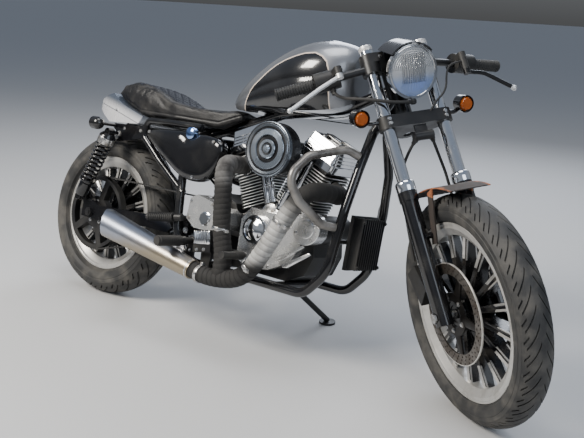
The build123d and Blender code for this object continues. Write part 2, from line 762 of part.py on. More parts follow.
with BuildPart() as rear_caliper:
    with BuildSketch(Plane.XZ.offset(-rear_disc_side + 26)):
        Polygon((96, 398), (150, 352), (180, 392), (122, 446), align=None)
    extrude(amount=-52)
    with BuildSketch(Plane.XZ.offset(-rear_disc_side + 5)):
        with Locations((0, rear_axle_height)):
            Circle(rear_disc_radius + 5)
    extrude(amount=-10, mode=Mode.SUBTRACT)
    with BuildSketch(Plane.XZ.offset(-rear_disc_side - 10)):
        Polygon(
            (104, arm_top(104) + seat_gap), (154, arm_top(154) + seat_gap), (160, 410), (110, 410), align=None,
        )
    extrude(amount=-32)

# Steering: fork tubes and lowers, clamps, headlamp, handlebars, controls, signals, fender and calipers
fork_half = fork_spacing / 2
fender_side = 62.3
fender_boss = (wheelbase - 92, front_radius + 209)
caliper_edge = (Vector(wheelbase - 88, front_radius + 51), Vector(wheelbase - 139, front_radius + 94))
caliper_out = Vector(0.645, 0.764)

with BuildPart() as fork_tubes:
    for side in sides:
        with BuildSketch(fork_plane.offset(60)):
            with Locations((0, side * fork_half)):
                Circle(fork_tube_radius)
        extrude(amount=fork_top - 66)
        with BuildSketch(fork_plane.offset(fork_top - 8)):
            with Locations((0, side * fork_half)):
                Circle(fork_tube_radius - 2)
        extrude(amount=14)
    with BuildSketch(fork_plane.offset(low_clamp[0] + 4)):
        with Locations((-stem_offset, 0)):
            Circle(stem_radius)
    extrude(amount=top_clamp[1] - low_clamp[0] + 10)

with BuildPart() as fork_lowers:
    for side in sides:
        with BuildSketch(fork_plane.offset(-26)):
            with Locations((0, side * fork_half)):
                Circle(fork_lower_radius)
        extrude(amount=fork_seal + 26)
        with BuildSketch(fork_plane.offset(fork_seal - 34)):
            with Locations((0, side * fork_half)):
                Circle(fork_lower_radius + 3)
        extrude(amount=34)
        with BuildSketch(Plane.XZ.offset(-side * (fender_side + 2 + seat_gap))):
            with Locations(fender_boss):
                Circle(9)
        extrude(amount=-side * 20)
        with BuildSketch(Plane.XZ.offset(-side * 70)):
            Polygon(
                *[edge + caliper_out * seat_gap for edge in caliper_edge],
                (wheelbase - 62, front_radius + 121), (wheelbase - 34, front_radius + 64), align=None,
            )
        extrude(amount=-side * 16)
    for side in sides:
        with BuildSketch(fork_plane.offset(fork_seal)):
            with Locations((0, side * fork_half)):
                Circle(fork_lower_radius + 2)
        extrude(amount=24, taper=8)
        with BuildSketch(fork_plane.offset(59)):
            with Locations((0, side * fork_half)):
                Circle(fork_tube_radius + seat_gap)
        extrude(amount=400, mode=Mode.SUBTRACT)
    with BuildSketch(Plane.XZ.offset(-140)):
        with Locations((wheelbase, front_radius)):
            Circle(axle_radius + seat_gap)
    extrude(amount=280, mode=Mode.SUBTRACT)

with BuildPart() as front_axle:
    with BuildSketch(Plane.XZ.offset(-fork_half - 32)):
        with Locations((wheelbase, front_radius)):
            Circle(axle_radius)
    extrude(amount=2 * fork_half + 64)
    for side in sides:
        with BuildSketch(Plane.XZ.offset(-side * (fork_half + fork_lower_radius + 3.3) - 3)):
            with Locations((wheelbase, front_radius)):
                RegularPolygon(15, 6)
        extrude(amount=6)
    spacer_start = front_hub_width / 2 + running_clearance
    for side in sides:
        with BuildSketch(Plane.XZ.offset(-side * spacer_start)):
            with Locations((wheelbase, front_radius)):
                Circle(14)
        extrude(amount=-side * (fork_half - fork_lower_radius - seat_gap - spacer_start))

with BuildPart() as fork_clamps:
    for low, high in (low_clamp, top_clamp):
        with BuildSketch(fork_plane.offset(low)):
            with Locations((0, fork_half), (0, -fork_half)):
                Circle(fork_tube_radius + clamp_wall)
            with Locations((-stem_offset, 0)):
                Circle(34)
            make_hull()
        extrude(amount=high - low)
    with BuildSketch(fork_plane.offset(top_clamp[0])):
        with Locations((38, 0)):
            RectangleRounded(40, 104, 12)
    extrude(amount=top_clamp[1] - top_clamp[0], mode=Mode.SUBTRACT)
    for side in sides:
        with BuildSketch(fork_plane.offset(0)):
            with Locations((0, side * fork_half)):
                Circle(fork_tube_radius + seat_gap)
        extrude(amount=900, mode=Mode.SUBTRACT)
    with BuildSketch(fork_plane.offset(0)):
        with Locations((-stem_offset, 0)):
            Circle(stem_radius + seat_gap)
    extrude(amount=900, mode=Mode.SUBTRACT)

lamp_middle = fork_point(70.8, 0, 701.7)
lamp_x = lamp_middle.X
lamp_z = lamp_middle.Z
lamp_radius = 79.0
lens_radius = lamp_radius - 9 - seat_gap
lens_bulge = 12.0
lens_ball = (lens_radius**2 + lens_bulge**2) / (2 * lens_bulge)
lamp_plane = Plane((lamp_x, 0, lamp_z), x_dir=(0, 1, 0), z_dir=(1, 0, 0))
with BuildPart() as lamp_shell:
    with BuildSketch(Plane.XZ):
        with BuildLine():
            Polyline((lamp_x - 78, lamp_z), (lamp_x - 78, lamp_z + 20))
            ThreePointArc((lamp_x - 78, lamp_z + 20), (lamp_x - 56, lamp_z + 52), (lamp_x - 12, lamp_z + 74))
            Polyline((lamp_x - 12, lamp_z + 74), (lamp_x - 12, lamp_z), (lamp_x - 78, lamp_z))
        make_face()
    revolve(axis=Axis((lamp_x, 0, lamp_z), (1, 0, 0)))
with BuildPart() as lamp_rim:
    with BuildSketch(lamp_plane.offset(-12 + seat_gap)):
        Circle(lamp_radius)
        Circle(lamp_radius - 9, mode=Mode.SUBTRACT)
    extrude(amount=16)
with BuildPart() as lamp_lens:
    with BuildSketch(Plane.XZ):
        with BuildLine():
            glass = CenterArc((lamp_x + 14 - lens_ball, lamp_z), lens_ball, 0, math.degrees(math.asin(lens_radius / lens_ball)))
            Polyline(glass @ 0, (lamp_x - 11, lamp_z), (lamp_x - 11, lamp_z + lens_radius), glass @ 1)
        make_face()
    revolve(axis=Axis((lamp_x, 0, lamp_z), (1, 0, 0)))

with BuildPart() as lamp_visor:
    for ahead, radius, span in ((-92, 92, 44), (4, 86, 50)):
        with BuildSketch(Plane.YZ.offset(lamp_x + ahead)):
            with BuildLine():
                outer = CenterArc((0, lamp_z), radius, 90 - span, 2 * span)
                inner = CenterArc((0, lamp_z), radius - 3, 90 - span, 2 * span)
                Line(outer @ 0, inner @ 0)
                Line(outer @ 1, inner @ 1)
            make_face()
    loft()
    with BuildSketch(Plane.XY.offset(lamp_z + 74 + seat_gap)):
        with Locations((lamp_x - 19, 0)):
            Rectangle(14, 16)
    extrude(amount=12)
    with BuildSketch(Plane.XZ):
        foot = [fork_point(ahead, 0, top_clamp[1] + up) for ahead, up in ((-12, 0.3), (14, 0.3), (14, 8), (-12, 8))]
        Polygon(
            (foot[0].X, foot[0].Z), (foot[1].X, foot[1].Z), (lamp_x - 59, lamp_z + 87), (lamp_x - 67, lamp_z + 88),
            (foot[2].X, foot[2].Z), (foot[3].X, foot[3].Z), align=None,
        )
    extrude(amount=14, both=True)

bar_radius = 11.0
bar_root = Vector(4, 114, 752)
bar_tip = Vector(-72, 372, 743.2)


def bar_run(side, radius, past):
    """A round along one handlebar, from its clamp to a distance past its tip."""
    tip = bar_tip + (bar_tip - bar_root).normalized() * past
    return round_bar([fork_point(end.X, side * end.Y, end.Z) for end in (bar_root, tip)], radius, [])


with BuildPart() as clip_on_bars:
    for side in sides:
        with BuildSketch(fork_plane.offset(735)):
            with Locations((0, side * fork_half)):
                Circle(fork_tube_radius + 10)
                Circle(fork_tube_radius + seat_gap, mode=Mode.SUBTRACT)
        extrude(amount=32)
        add(bar_run(side, bar_radius, 0))

with BuildPart() as grips:
    for side in sides:
        add(round_bar([fork_point(-42.5, side * 268, 746.8), fork_point(-73, side * 376, 743)], 16.5, []))
        add(bar_run(side, bar_radius + seat_gap, seat_gap), mode=Mode.SUBTRACT)

# Levers: side, then the pivot, the bend and the tip of each, ahead, outboard and up in the fork's plane
lever_points = (
    (1, (20, 206, 700), (12, 268, 692), (-5, 366, 636)),
    (-1, (26, 206, 735), (8, 268, 712), (-14, 366, 666)),
)
pivot_half = 7.0
with BuildPart() as hand_controls:
    for side, pivot, bend, tip in lever_points:
        add(round_bar([fork_point(-18.4, side * 190, 749.4), fork_point(-39.6, side * 262, 747)], 30, []))
        with BuildSketch(fork_plane.offset(744)):
            with Locations((pivot[0] / 2 - 10, side * pivot[1])):
                Rectangle(pivot[0] + 20, 24)
        extrude(amount=20)
        with BuildSketch(fork_plane.offset(pivot[2] + pivot_half + seat_gap)):
            with Locations((pivot[0], side * pivot[1])):
                Circle(12)
        extrude(amount=764 - pivot[2] - pivot_half - seat_gap)
    for side in sides:
        add(bar_run(side, bar_radius + seat_gap, seat_gap), mode=Mode.SUBTRACT)

with BuildPart() as levers:
    for side, pivot, bend, tip in lever_points:
        with BuildSketch(fork_plane.offset(pivot[2] - pivot_half)):
            with Locations((pivot[0], side * pivot[1])):
                Circle(11)
        extrude(amount=2 * pivot_half)
        add(round_bar([fork_point(ahead, side * out, up) for ahead, out, up in (pivot, bend, tip)], 6.5, [80]))
        with Locations(fork_point(tip[0], side * tip[1], tip[2])):
            Sphere(9)

signal_middle = fork_point(-2, 0, 610)
signal_side = 172.0
with BuildPart() as front_signals:
    for side in sides:
        stalk_root = fork_half + fork_tube_radius + clamp_wall + seat_gap
        add(round_bar(
            [fork_point(0, side * stalk_root, 586), fork_point(0, side * (stalk_root + 18), 586),
             fork_point(-14, side * 162, 600)], 7, [20],
        ))
        with BuildSketch(Plane.YZ.offset(signal_middle.X - 13)):
            with Locations((side * signal_side, signal_middle.Z)):
                Circle(25)
        extrude(amount=26)

with BuildPart() as signal_lenses:
    for side in sides:
        with BuildSketch(Plane.YZ.offset(signal_middle.X + 13 + seat_gap)):
            with Locations((side * signal_side, signal_middle.Z)):
                Circle(24)
        extrude(amount=16, taper=25)

fender_radius = front_radius + 22
with BuildPart() as front_fender:
    with BuildSketch(Plane.XZ):
        with Locations((wheelbase, front_radius)):
            Circle(fender_radius + 3)
            Circle(fender_radius, mode=Mode.SUBTRACT)
    extrude(amount=62, both=True)
    with BuildSketch(Plane.XZ):
        with BuildLine():
            Polyline(
                (wheelbase, front_radius), (wheelbase + 16, front_radius + 420),
                (wheelbase - 300, front_radius + 420), (wheelbase, front_radius),
            )
        make_face()
    extrude(amount=100, both=True, mode=Mode.INTERSECT)
    for side in sides:
        with BuildSketch(Plane.XZ.offset(-side * fender_side)):
            Polygon(
                (wheelbase - 110, front_radius + fender_radius - 27), (wheelbase - 84, front_radius + fender_radius - 9),
                (wheelbase - 66, front_radius + 190), (wheelbase - 92, front_radius + 180), align=None,
            )
        extrude(amount=2, both=True)

with BuildPart() as front_calipers:
    for side in sides:
        with BuildSketch(Plane.XZ.offset(-side * 68)):
            Polygon(
                (wheelbase - 120, front_radius - 9), (wheelbase - 88, front_radius + 51),
                (wheelbase - 152, front_radius + 105), (wheelbase - 198, front_radius + 65), align=None,
            )
        extrude(amount=26, both=True)
        with BuildSketch(Plane.XZ.offset(-side * front_disc_side)):
            with Locations((wheelbase, front_radius)):
                Circle(front_disc_radius + 5)
        extrude(amount=5, both=True, mode=Mode.SUBTRACT)

with BuildPart() as brake_lines:
    add(round_bar([fork_point(24, -30, 520), fork_point(24, 30, 520)], 14, []))
    with BuildSketch(fork_plane.offset(512)):
        with Locations((20, 0)):
            Rectangle(6, 40)
    extrude(amount=low_clamp[0] - 512 - seat_gap)
    for side in sides:
        add(round_bar(
            [fork_point(22, side * 26, 512), fork_point(-30, side * 60, 470), fork_point(-56, side * 82, 380),
             fork_point(-92, side * 84, 180)], 4.5, [60, 120],
        ))
    add(round_bar(
        [fork_point(-26, -215, 718.2), fork_point(-26, -215, 690), fork_point(30, -134, 650),
         fork_point(44, -60, 622), fork_point(44, -10, 620)],
        5, [24, 40, 40],
    ))

# The parked machine leans to its left with the steering turned to the right, on both tyres and the stand
def moved_point(where, point):
    return (where * Pos(point)).position


def moved_direction(where, direction):
    return moved_point(where, direction) - moved_point(where, Vector(0, 0, 0))


def tyre_low(where, centre, radius, width):
    """The height of the lowest point of a tyre whose tread is an arc across its width."""
    sagitta = 0.27 * width
    crown = ((0.47 * width) ** 2 + sagitta**2) / (2 * sagitta)
    upward = moved_direction(where, Vector(0, 1, 0)).Z
    return moved_point(where, centre).Z - (radius - crown) * math.sqrt(1 - upward**2) - crown


foot_of_axis = Pos(steering_line.position)
turned = foot_of_axis * Location((0, 0, 0), steering_line.direction, -steering_turn) * foot_of_axis.inverse()
leaned = Rotation(-lean_angle, 0, 0)
pitch = 0.0
for step in range(4):
    held = Rotation(0, pitch, 0) * leaned
    rear_low = tyre_low(held, Vector(0, 0, rear_axle_height), rear_radius, rear_tyre_width)
    front_low = tyre_low(held * turned, Vector(wheelbase, 0, front_radius), front_radius, front_tyre_width)
    pitch += math.degrees(math.atan2(front_low - rear_low, wheelbase))
parked = Pos(0, 0, -rear_low) * held

# Side stand: a leg on a pin under the left frame rail, its foot flat on the floor
stand_pivot = Vector(772, 150, 214)
stand_foot = moved_point(parked.inverse(), Vector(826, 352, 0))
floor_up = moved_direction(parked.inverse(), Vector(0, 0, 1))
stand_down = (stand_foot - stand_pivot).normalized()
stand_stowed = Vector(-1, 0.15, -0.06).normalized()
stand_axis = stand_down.cross(stand_stowed).normalized()
stand_swing = math.degrees(math.acos(stand_down.dot(stand_stowed)))
stand_plane = Plane(stand_pivot, x_dir=stand_down, z_dir=stand_axis)
lug_radius = 15.0
lug_half = 6.0
pin_radius = 5.0
with BuildPart() as side_stand:
    for side in sides:
        with BuildSketch(stand_plane.offset(side * (lug_half + running_clearance + 3) - 3)):
            Circle(lug_radius)
            with Locations((17, 0)):
                Rectangle(34, 22)
        extrude(amount=6)
    with BuildSketch(stand_plane.offset(-lug_half - 4)):
        with Locations((30, 0)):
            Rectangle(16, 22)
    extrude(amount=2 * lug_half + 8)
    with BuildSketch(stand_plane.offset(-lug_half - 8)):
        Circle(pin_radius)
    extrude(amount=2 * lug_half + 16)
    add(round_bar([stand_pivot + stand_down * 30, stand_foot + floor_up * 11], 10, []))
    with BuildSketch(Plane(stand_foot, z_dir=floor_up)):
        Circle(30)
    extrude(amount=8)
rail_point = Vector(stand_pivot.X, rail_side, rail_z)
lug_way = rail_point - stand_pivot
lug_way = (lug_way - stand_axis * lug_way.dot(stand_axis)).normalized()
with BuildPart() as stand_lug:
    with BuildSketch(stand_plane.offset(-lug_half)):
        Circle(lug_radius)
    extrude(amount=2 * lug_half)
    add(round_bar([stand_pivot + lug_way * 6, stand_pivot + lug_way * 24], lug_half - 0.1, []))
    add(round_bar([stand_pivot + lug_way * 20, rail_point], lug_half, []))
    with BuildSketch(stand_plane.offset(-lug_half - 2)):
        Circle(pin_radius + seat_gap)
    extrude(amount=2 * lug_half + 4, mode=Mode.SUBTRACT)
frame_with_lug = frame.part + stand_lug.part

chassis_pieces = {
    "frame": frame_with_lug, "swingarm": swingarm.part, "rear_axle": rear_axle.part,
    "shock_bodies": shock_bodies.part, "shock_springs": springs, "fuel_tank": fuel_tank.part, "seat": seat.part,
    "tail_cowl": tail_cowl.part, "side_tanks": side_tanks.part, "filler_caps": filler_caps.part,
    "crankcase": crankcase.part, "cylinders": cylinders.part, "rocker_covers": rocker_covers.part,
    "air_cleaner": air_cleaner.part, "engine_covers": engine_covers.part, "pushrod_tubes": pushrod_tubes.part,
    "exhaust_pipes": exhaust_pipes.part, "muffler": muffler.part, "belt_drive": belt_drive.part,
    "foot_pegs": foot_pegs.part, "foot_brake": foot_brake.part, "engine_guard": engine_guard.part,
    "regulator": regulator.part, "rear_signals": rear_signal_pair, "plate_strip": plate_strip.part,
    "rear_caliper": rear_caliper.part, "side_stand": side_stand.part,
}
steering_pieces = {
    "fork_tubes": fork_tubes.part, "fork_lowers": fork_lowers.part, "fork_clamps": fork_clamps.part,
    "front_axle": front_axle.part, "lamp_shell": lamp_shell.part, "lamp_rim": lamp_rim.part,
    "lamp_lens": lamp_lens.part, "lamp_visor": lamp_visor.part, "clip_on_bars": clip_on_bars.part,
    "grips": grips.part, "hand_controls": hand_controls.part, "levers": levers.part,
    "front_signals": front_signals.part, "signal_lenses": signal_lenses.part, "front_fender": front_fender.part,
    "front_calipers": front_calipers.part, "brake_lines": brake_lines.part,
}
rear_wheel_pieces = {
    "rear_tyre": rear_tyre, "rear_wheel": rear_wheel, "rear_disc": rear_disc, "rear_pulley": rear_pulley,
}
front_wheel_pieces = {"front_tyre": front_tyre, "front_wheel": front_wheel, "front_discs": front_discs}

placed = {}
for where, pieces in (
    (parked, chassis_pieces),
    (parked * turned, steering_pieces),
    (parked * wheel_centre, rear_wheel_pieces),
    (parked * turned * front_centre, front_wheel_pieces),
):
    for name, piece in pieces.items():
        placed[name] = where * piece

# The origin lies on the floor, under the middle of the parked machine
boxes = [piece.bounding_box() for piece in placed.values()]
middle_x = (min(box.min.X for box in boxes) + max(box.max.X for box in boxes)) / 2
middle_y = (min(box.min.Y for box in boxes) + max(box.max.Y for box in boxes)) / 2
origin_shift = Pos(-middle_x, -middle_y, 0)
os.makedirs("parts", exist_ok=True)
for name, piece in placed.items():
    piece = origin_shift * piece
    piece.label = name
    export_step(piece, f"parts/{name}.step")
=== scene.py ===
import math

import bpy
from mathutils import Matrix, Vector
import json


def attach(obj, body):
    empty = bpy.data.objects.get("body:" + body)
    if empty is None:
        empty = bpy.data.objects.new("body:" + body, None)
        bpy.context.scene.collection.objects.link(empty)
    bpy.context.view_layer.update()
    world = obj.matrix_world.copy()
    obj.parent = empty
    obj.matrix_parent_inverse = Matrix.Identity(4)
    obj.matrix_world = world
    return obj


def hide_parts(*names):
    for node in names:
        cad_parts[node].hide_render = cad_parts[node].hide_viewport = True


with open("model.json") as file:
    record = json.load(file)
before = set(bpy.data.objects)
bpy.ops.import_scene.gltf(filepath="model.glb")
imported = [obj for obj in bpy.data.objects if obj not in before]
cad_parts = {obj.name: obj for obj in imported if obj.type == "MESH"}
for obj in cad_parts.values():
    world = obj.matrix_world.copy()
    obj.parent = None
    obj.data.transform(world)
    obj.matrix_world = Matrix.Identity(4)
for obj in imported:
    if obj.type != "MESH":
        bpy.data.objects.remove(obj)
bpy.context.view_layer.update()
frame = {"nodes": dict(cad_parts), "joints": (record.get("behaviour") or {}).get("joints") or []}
bpy.ops.object.select_all(action="DESELECT")

# Studio: a pale floor under the machine, soft lamps round it, and the camera where the
# photograph was taken from, ahead and to the right of the machine at about head height.
bpy.ops.mesh.primitive_plane_add(size=400, location=(0, 0, 0))
floor = bpy.context.object
floor.name = "studio_floor"
floor_paint = bpy.data.materials.new("pale_floor")
floor_paint.use_nodes = True
floor_shader = floor_paint.node_tree.nodes["Principled BSDF"]
floor_shader.inputs["Base Color"].default_value = (0.50, 0.50, 0.50, 1)
floor_shader.inputs["Roughness"].default_value = 0.85
floor.data.materials.append(floor_paint)

# Studio lamps: name, place, the point each one faces, size in metres, power, colour
for lamp_name, lamp_place, lamp_aim, lamp_size, lamp_power, lamp_colour in (
    ("key", (-1.6, -3.4, 3.4), (0, 0, 0.5), 1.6, 340, (1.0, 0.95, 0.87)),
    ("fill", (3.6, -1.4, 2.2), (0.2, 0, 0.5), 2.4, 46, (0.82, 0.9, 1.0)),
    ("back", (-1.0, 3.4, 3.0), (0, 0, 0.6), 2.6, 110, (0.84, 0.9, 1.0)),
    ("top", (0.2, -0.2, 4.2), (0, 0, 0.4), 2.2, 80, (1.0, 1.0, 1.0)),
):
    bpy.ops.object.light_add(type="AREA", location=lamp_place)
    studio_lamp = bpy.context.object
    studio_lamp.name = "lamp_" + lamp_name
    studio_lamp.rotation_euler = (Vector(lamp_aim) - Vector(lamp_place)).to_track_quat("-Z", "Y").to_euler()
    studio_lamp.data.size = lamp_size
    studio_lamp.data.energy = lamp_power
    studio_lamp.data.color = lamp_colour

surroundings = bpy.data.worlds.new("soft_surroundings")
bpy.context.scene.world = surroundings
surroundings.use_nodes = True
sky_nodes = surroundings.node_tree.nodes
sky_links = surroundings.node_tree.links
sky_way = sky_nodes.new("ShaderNodeTexCoord")
sky_height = sky_nodes.new("ShaderNodeSeparateXYZ")
sky_shades = sky_nodes.new("ShaderNodeValToRGB")
sky_shades.color_ramp.elements[0].position = 0.46
sky_shades.color_ramp.elements[0].color = (0.05, 0.052, 0.055, 1)
sky_shades.color_ramp.elements[1].position = 1.0
sky_shades.color_ramp.elements[1].color = (0.34, 0.44, 0.62, 1)
for sky_position, sky_colour in ((0.5, (0.16, 0.165, 0.17, 1)), (0.62, (0.62, 0.66, 0.72, 1))):
    sky_shades.color_ramp.elements.new(sky_position).color = sky_colour
sky_links.new(sky_way.outputs["Generated"], sky_height.inputs[0])
sky_half = sky_nodes.new("ShaderNodeMapRange")
sky_half.inputs["From Min"].default_value = -1
sky_links.new(sky_height.outputs["Z"], sky_half.inputs["Value"])
sky_links.new(sky_half.outputs["Result"], sky_shades.inputs["Fac"])
sky_links.new(sky_shades.outputs["Color"], sky_nodes["Background"].inputs["Color"])
sky_nodes["Background"].inputs["Strength"].default_value = 0.5

bpy.ops.object.camera_add(
    location=(1.60131, -2.14445, 1.12329),
    rotation=tuple(math.radians(turn) for turn in (75.216, -3.1948, 36.8007)),
)
camera = bpy.context.object
camera.name = "photo_camera"
camera.data.sensor_width = 36
camera.data.lens = 49.919
bpy.context.scene.camera = camera

# Chassis: round steel tubes bent and welded together, all sprayed gloss black. It stands leaned to its left.
# Its pieces are drawn in millimetres on the upright machine, with X ahead of the rear axle, Y to the rider's
# left and Z up from the floor, and those of the fork from the front axle up along its tubes.
RAKE = math.radians(29.6)
WHEELBASE = 1524
REAR_AXLE_HEIGHT = 0.322
FRONT_RADIUS = 331
joints = {joint["name"]: joint for joint in frame["joints"]}


def place_of(origin, left, up):
    """Where a group of pieces stands, from its origin, its axis to the rider's left and its upward one."""
    left = Vector(left).normalized()
    ahead = left.cross(Vector(up)).normalized()
    turn = Matrix((ahead, left, ahead.cross(left))).transposed()
    return Matrix.Translation(origin) @ turn.to_4x4() @ Matrix.Scale(0.001, 4)


rear_left = Vector(joints["rear_wheel"]["axis"]).normalized()
steering_up = Vector(joints["steering"]["axis"]).normalized()
upward = math.cos(RAKE) * steering_up + math.sin(RAKE) * rear_left.cross(steering_up)
rear_centre = Vector(joints["rear_wheel"]["pos_m"])
front_left = Vector(joints["front_wheel"]["axis"]).normalized()
front_centre = Vector(joints["front_wheel"]["pos_m"])
front_upward = math.cos(RAKE) * steering_up + math.sin(RAKE) * front_left.cross(steering_up)

machine = place_of(rear_centre - REAR_AXLE_HEIGHT * upward, rear_left, upward)
fork = place_of(front_centre, front_left, steering_up)
front_wheel_place = place_of(front_centre, front_left, front_upward)
rear_wheel_place = place_of(rear_centre, rear_left, upward)
turned_machine = front_wheel_place @ Matrix.Translation((-WHEELBASE, 0, -FRONT_RADIUS))


class Value:
    """One output of a finish's nodes. Arithmetic on it adds the Math nodes that it needs."""

    def __init__(self, finish, socket):
        self.finish = finish
        self.socket = socket

    def maths(self, operation, *inputs):
        return self.finish.node("Math", {"operation": operation}, dict(enumerate(inputs)))

    def __add__(self, other):
        return self.maths("ADD", self, other)

    def __sub__(self, other):
        return self.maths("SUBTRACT", self, other)

    def __rsub__(self, other):
        return self.maths("SUBTRACT", other, self)

    def __mul__(self, other):
        return self.maths("MULTIPLY", self, other)

    __radd__, __rmul__ = __add__, __mul__

    def __truediv__(self, other):
        return self.maths("DIVIDE", self, other)

    def __pow__(self, other):
        return self.maths("POWER", self, other)

    def __abs__(self):
        return self.maths("ABSOLUTE", self)

    def __lt__(self, other):
        return self.maths("LESS_THAN", self, other)

    def __gt__(self, other):
        return self.maths("GREATER_THAN", self, other)

    def sine(self):
        return self.maths("SINE", self)

    def most(self, other):
        return self.maths("MAXIMUM", self, other)

    def least(self, other):
        return self.maths("MINIMUM", self, other)

    def between(self, low, high):
        """0 below low, 1 above high, and a smooth step between them."""
        ramp = {"interpolation_type": "SMOOTHSTEP"}
        return self.finish.node("MapRange", ramp, {"Value": self, "From Min": low, "From Max": high})


class Finish:
    """A procedural material for one finish of the machine, and the slot that it stands for."""

    def __init__(self, name, slot, **constants):
        self.slot = slot
        self.material = bpy.data.materials.new(name)
        self.material.use_nodes = True
        self.nodes = self.material.node_tree.nodes
        self.shader = self.nodes["Principled BSDF"]
        for socket, value in constants.items():
            self.shader.inputs[socket.replace("_", " ")].default_value = value

    def node(self, kind, settings=None, inputs=None, output=0):
        """Adds a node, sets it up, joins or sets its inputs, and gives one of its outputs."""
        made = self.nodes.new("ShaderNode" + kind)
        for setting, value in (settings or {}).items():
            if setting == "stops":
                for extra in range(len(value) - 2):
                    made.color_ramp.elements.new(0.5)
                for element, (position, colour) in zip(made.color_ramp.elements, value):
                    element.position = position
                    element.color = (*colour, 1)
            else:
                setattr(made, setting, value)
        for socket, value in (inputs or {}).items():
            self.join(made.inputs[socket], value)
        return Value(self, made.outputs[output])

    def join(self, socket, value):
        if isinstance(value, Value):
            self.material.node_tree.links.new(value.socket, socket)
        else:
            socket.default_value = value

    def set(self, socket, value):
        """Lets a value drive one of the shader's sockets."""
        self.join(self.shader.inputs[socket], value)

    def place(self, where=None, scale=(1, 1, 1)):
        """The object's coordinates: metres in the row frame, or another place's own millimetres."""
        spot = self.node("TexCoord", output="Object")
        if where is not None:
            back = where.inverted()
            turn = {"Location": back.to_translation(), "Rotation": back.to_euler(), "Scale": back.to_scale()}
            spot = self.node("Mapping", {"vector_type": "POINT"}, {**turn, "Vector": spot})
        if scale != (1, 1, 1):
            spot = self.node("VectorMath", {"operation": "MULTIPLY"}, {0: spot, 1: scale})
        return spot

    def axes(self, where=None):
        """How far ahead, to the left and up a point lies in a place."""
        outputs = self.node("SeparateXYZ", None, {0: self.place(where)}).socket.node.outputs
        return [Value(self, output) for output in outputs]

    def noise(self, scale, detail=3.0, roughness=0.55, spot=None):
        wanted = {"Vector": spot or self.place(), "Scale": scale, "Detail": detail, "Roughness": roughness}
        return self.node("TexNoise", None, wanted)

    def ramp(self, value, *stops):
        return self.node("ValToRGB", {"stops": stops}, {"Fac": value})

    def mix(self, share, *colours):
        """A colour between two others."""
        first, second = [colour if isinstance(colour, Value) else (*colour, 1) for colour in colours]
        return self.node("Mix", {"data_type": "RGBA"}, {0: share, 6: first, 7: second}, output=2)

    def bump(self, height, strength, distance):
        self.set("Normal", self.node("Bump", None, {
            "Height": height, "Strength": strength, "Distance": distance,
        }))


def dusted(name, slot, fresh, faded, smooth, rough, low, high, scale=9.0, **constants):
    """A finish that goes from fresh to faded, and from smooth to rough, in the same soft patches."""
    finish = Finish(name, slot, **constants)
    patches = finish.noise(scale, 5).between(low, high)
    finish.set("Base Color", finish.mix(patches, fresh, faded))
    finish.set("Roughness", smooth + patches * (rough - smooth))
    return finish


gloss_black = dusted(
    "gloss_black_paint", "gloss_black", (0.005, 0.005, 0.006), (0.012, 0.0115, 0.011), 0.1, 0.3, 0.45, 0.72,
    Metallic=0.0, Coat_Weight=0.35, Coat_Roughness=0.08,
)
gloss_black.bump(gloss_black.noise(420, 2), 0.04, 0.0006)

bolt_steel = dusted(
    "zinc_plated_steel", "brushed_steel", (0.60, 0.60, 0.60), (0.32, 0.30, 0.27), 0.24, 0.5, 0.4, 0.7, 60,
    Metallic=1.0,
)


def finish_cad(finish, *nodes):
    """Gives CAD nodes one finish, with their loose faces welded in view and only sharp edges left hard."""
    for node in nodes:
        piece = frame["nodes"][node]
        piece.data.polygons.foreach_set("use_smooth", [True] * len(piece.data.polygons))
        piece.modifiers.new("weld", "WELD").merge_threshold = 0.00002
        piece.modifiers.new("hard_edges", "EDGE_SPLIT").split_angle = math.radians(28)
        piece.data.materials.clear()
        piece.data.materials.append(finish.material)


def cleaned(reach, *, closed=False, outward=True):
    """Merges the active piece's doubles, fills its open ends if asked, and turns its faces outwards."""
    bpy.ops.object.mode_set(mode="EDIT")
    bpy.ops.mesh.select_all(action="SELECT")
    bpy.ops.mesh.remove_doubles(threshold=reach)
    if closed:
        bpy.ops.mesh.fill_holes(sides=16)
    if outward:
        bpy.ops.mesh.normals_make_consistent(inside=False)
    bpy.ops.object.mode_set(mode="OBJECT")
    return bpy.context.object


def drawn(profile):
    """Draws a profile of radii and heights in millimetres, one vertex at a time, and stays in edit mode."""
    bpy.context.tool_settings.mesh_select_mode = (True, False, False)
    bpy.ops.mesh.primitive_plane_add(size=1, enter_editmode=True)
    bpy.ops.mesh.merge(type="CENTER")
    bpy.ops.transform.translate(value=(profile[0][0], 0, profile[0][1]))
    for (radius, height), (next_radius, next_height) in zip(profile, profile[1:]):
        step = (next_radius - radius, 0, next_height - height)
        bpy.ops.mesh.extrude_vertices_move(TRANSFORM_OT_translate={"value": step})
    bpy.ops.mesh.select_all(action="SELECT")


def turned(profile, steps=48, at=None):
    """Turns a piece about Z from its profile, and stands it in a place."""
    drawn(profile)
    bpy.ops.mesh.spin(steps=steps, angle=2 * math.pi, center=(0, 0, 0), axis=(0, 0, 1))
    piece = cleaned(0.001)
    piece.matrix_world = at or piece.matrix_world
    return piece


def change(piece, kind, **settings):
    """Adds a modifier with its settings and applies it."""
    modifier = piece.modifiers.new("change", kind)
    for setting, value in settings.items():
        setattr(modifier, setting, value)
    bpy.context.view_layer.objects.active = piece
    bpy.ops.object.modifier_apply(modifier=modifier.name)
    return piece


def facing(spot, normal=(0, -1, 0), turn=0.0):
    """A place in millimetres whose Z runs along a normal."""
    way = Vector(normal).to_track_quat("Z", "Y").to_matrix().to_4x4()
    return Matrix.Translation(spot) @ way @ Matrix.Rotation(math.radians(turn), 4, "Z")


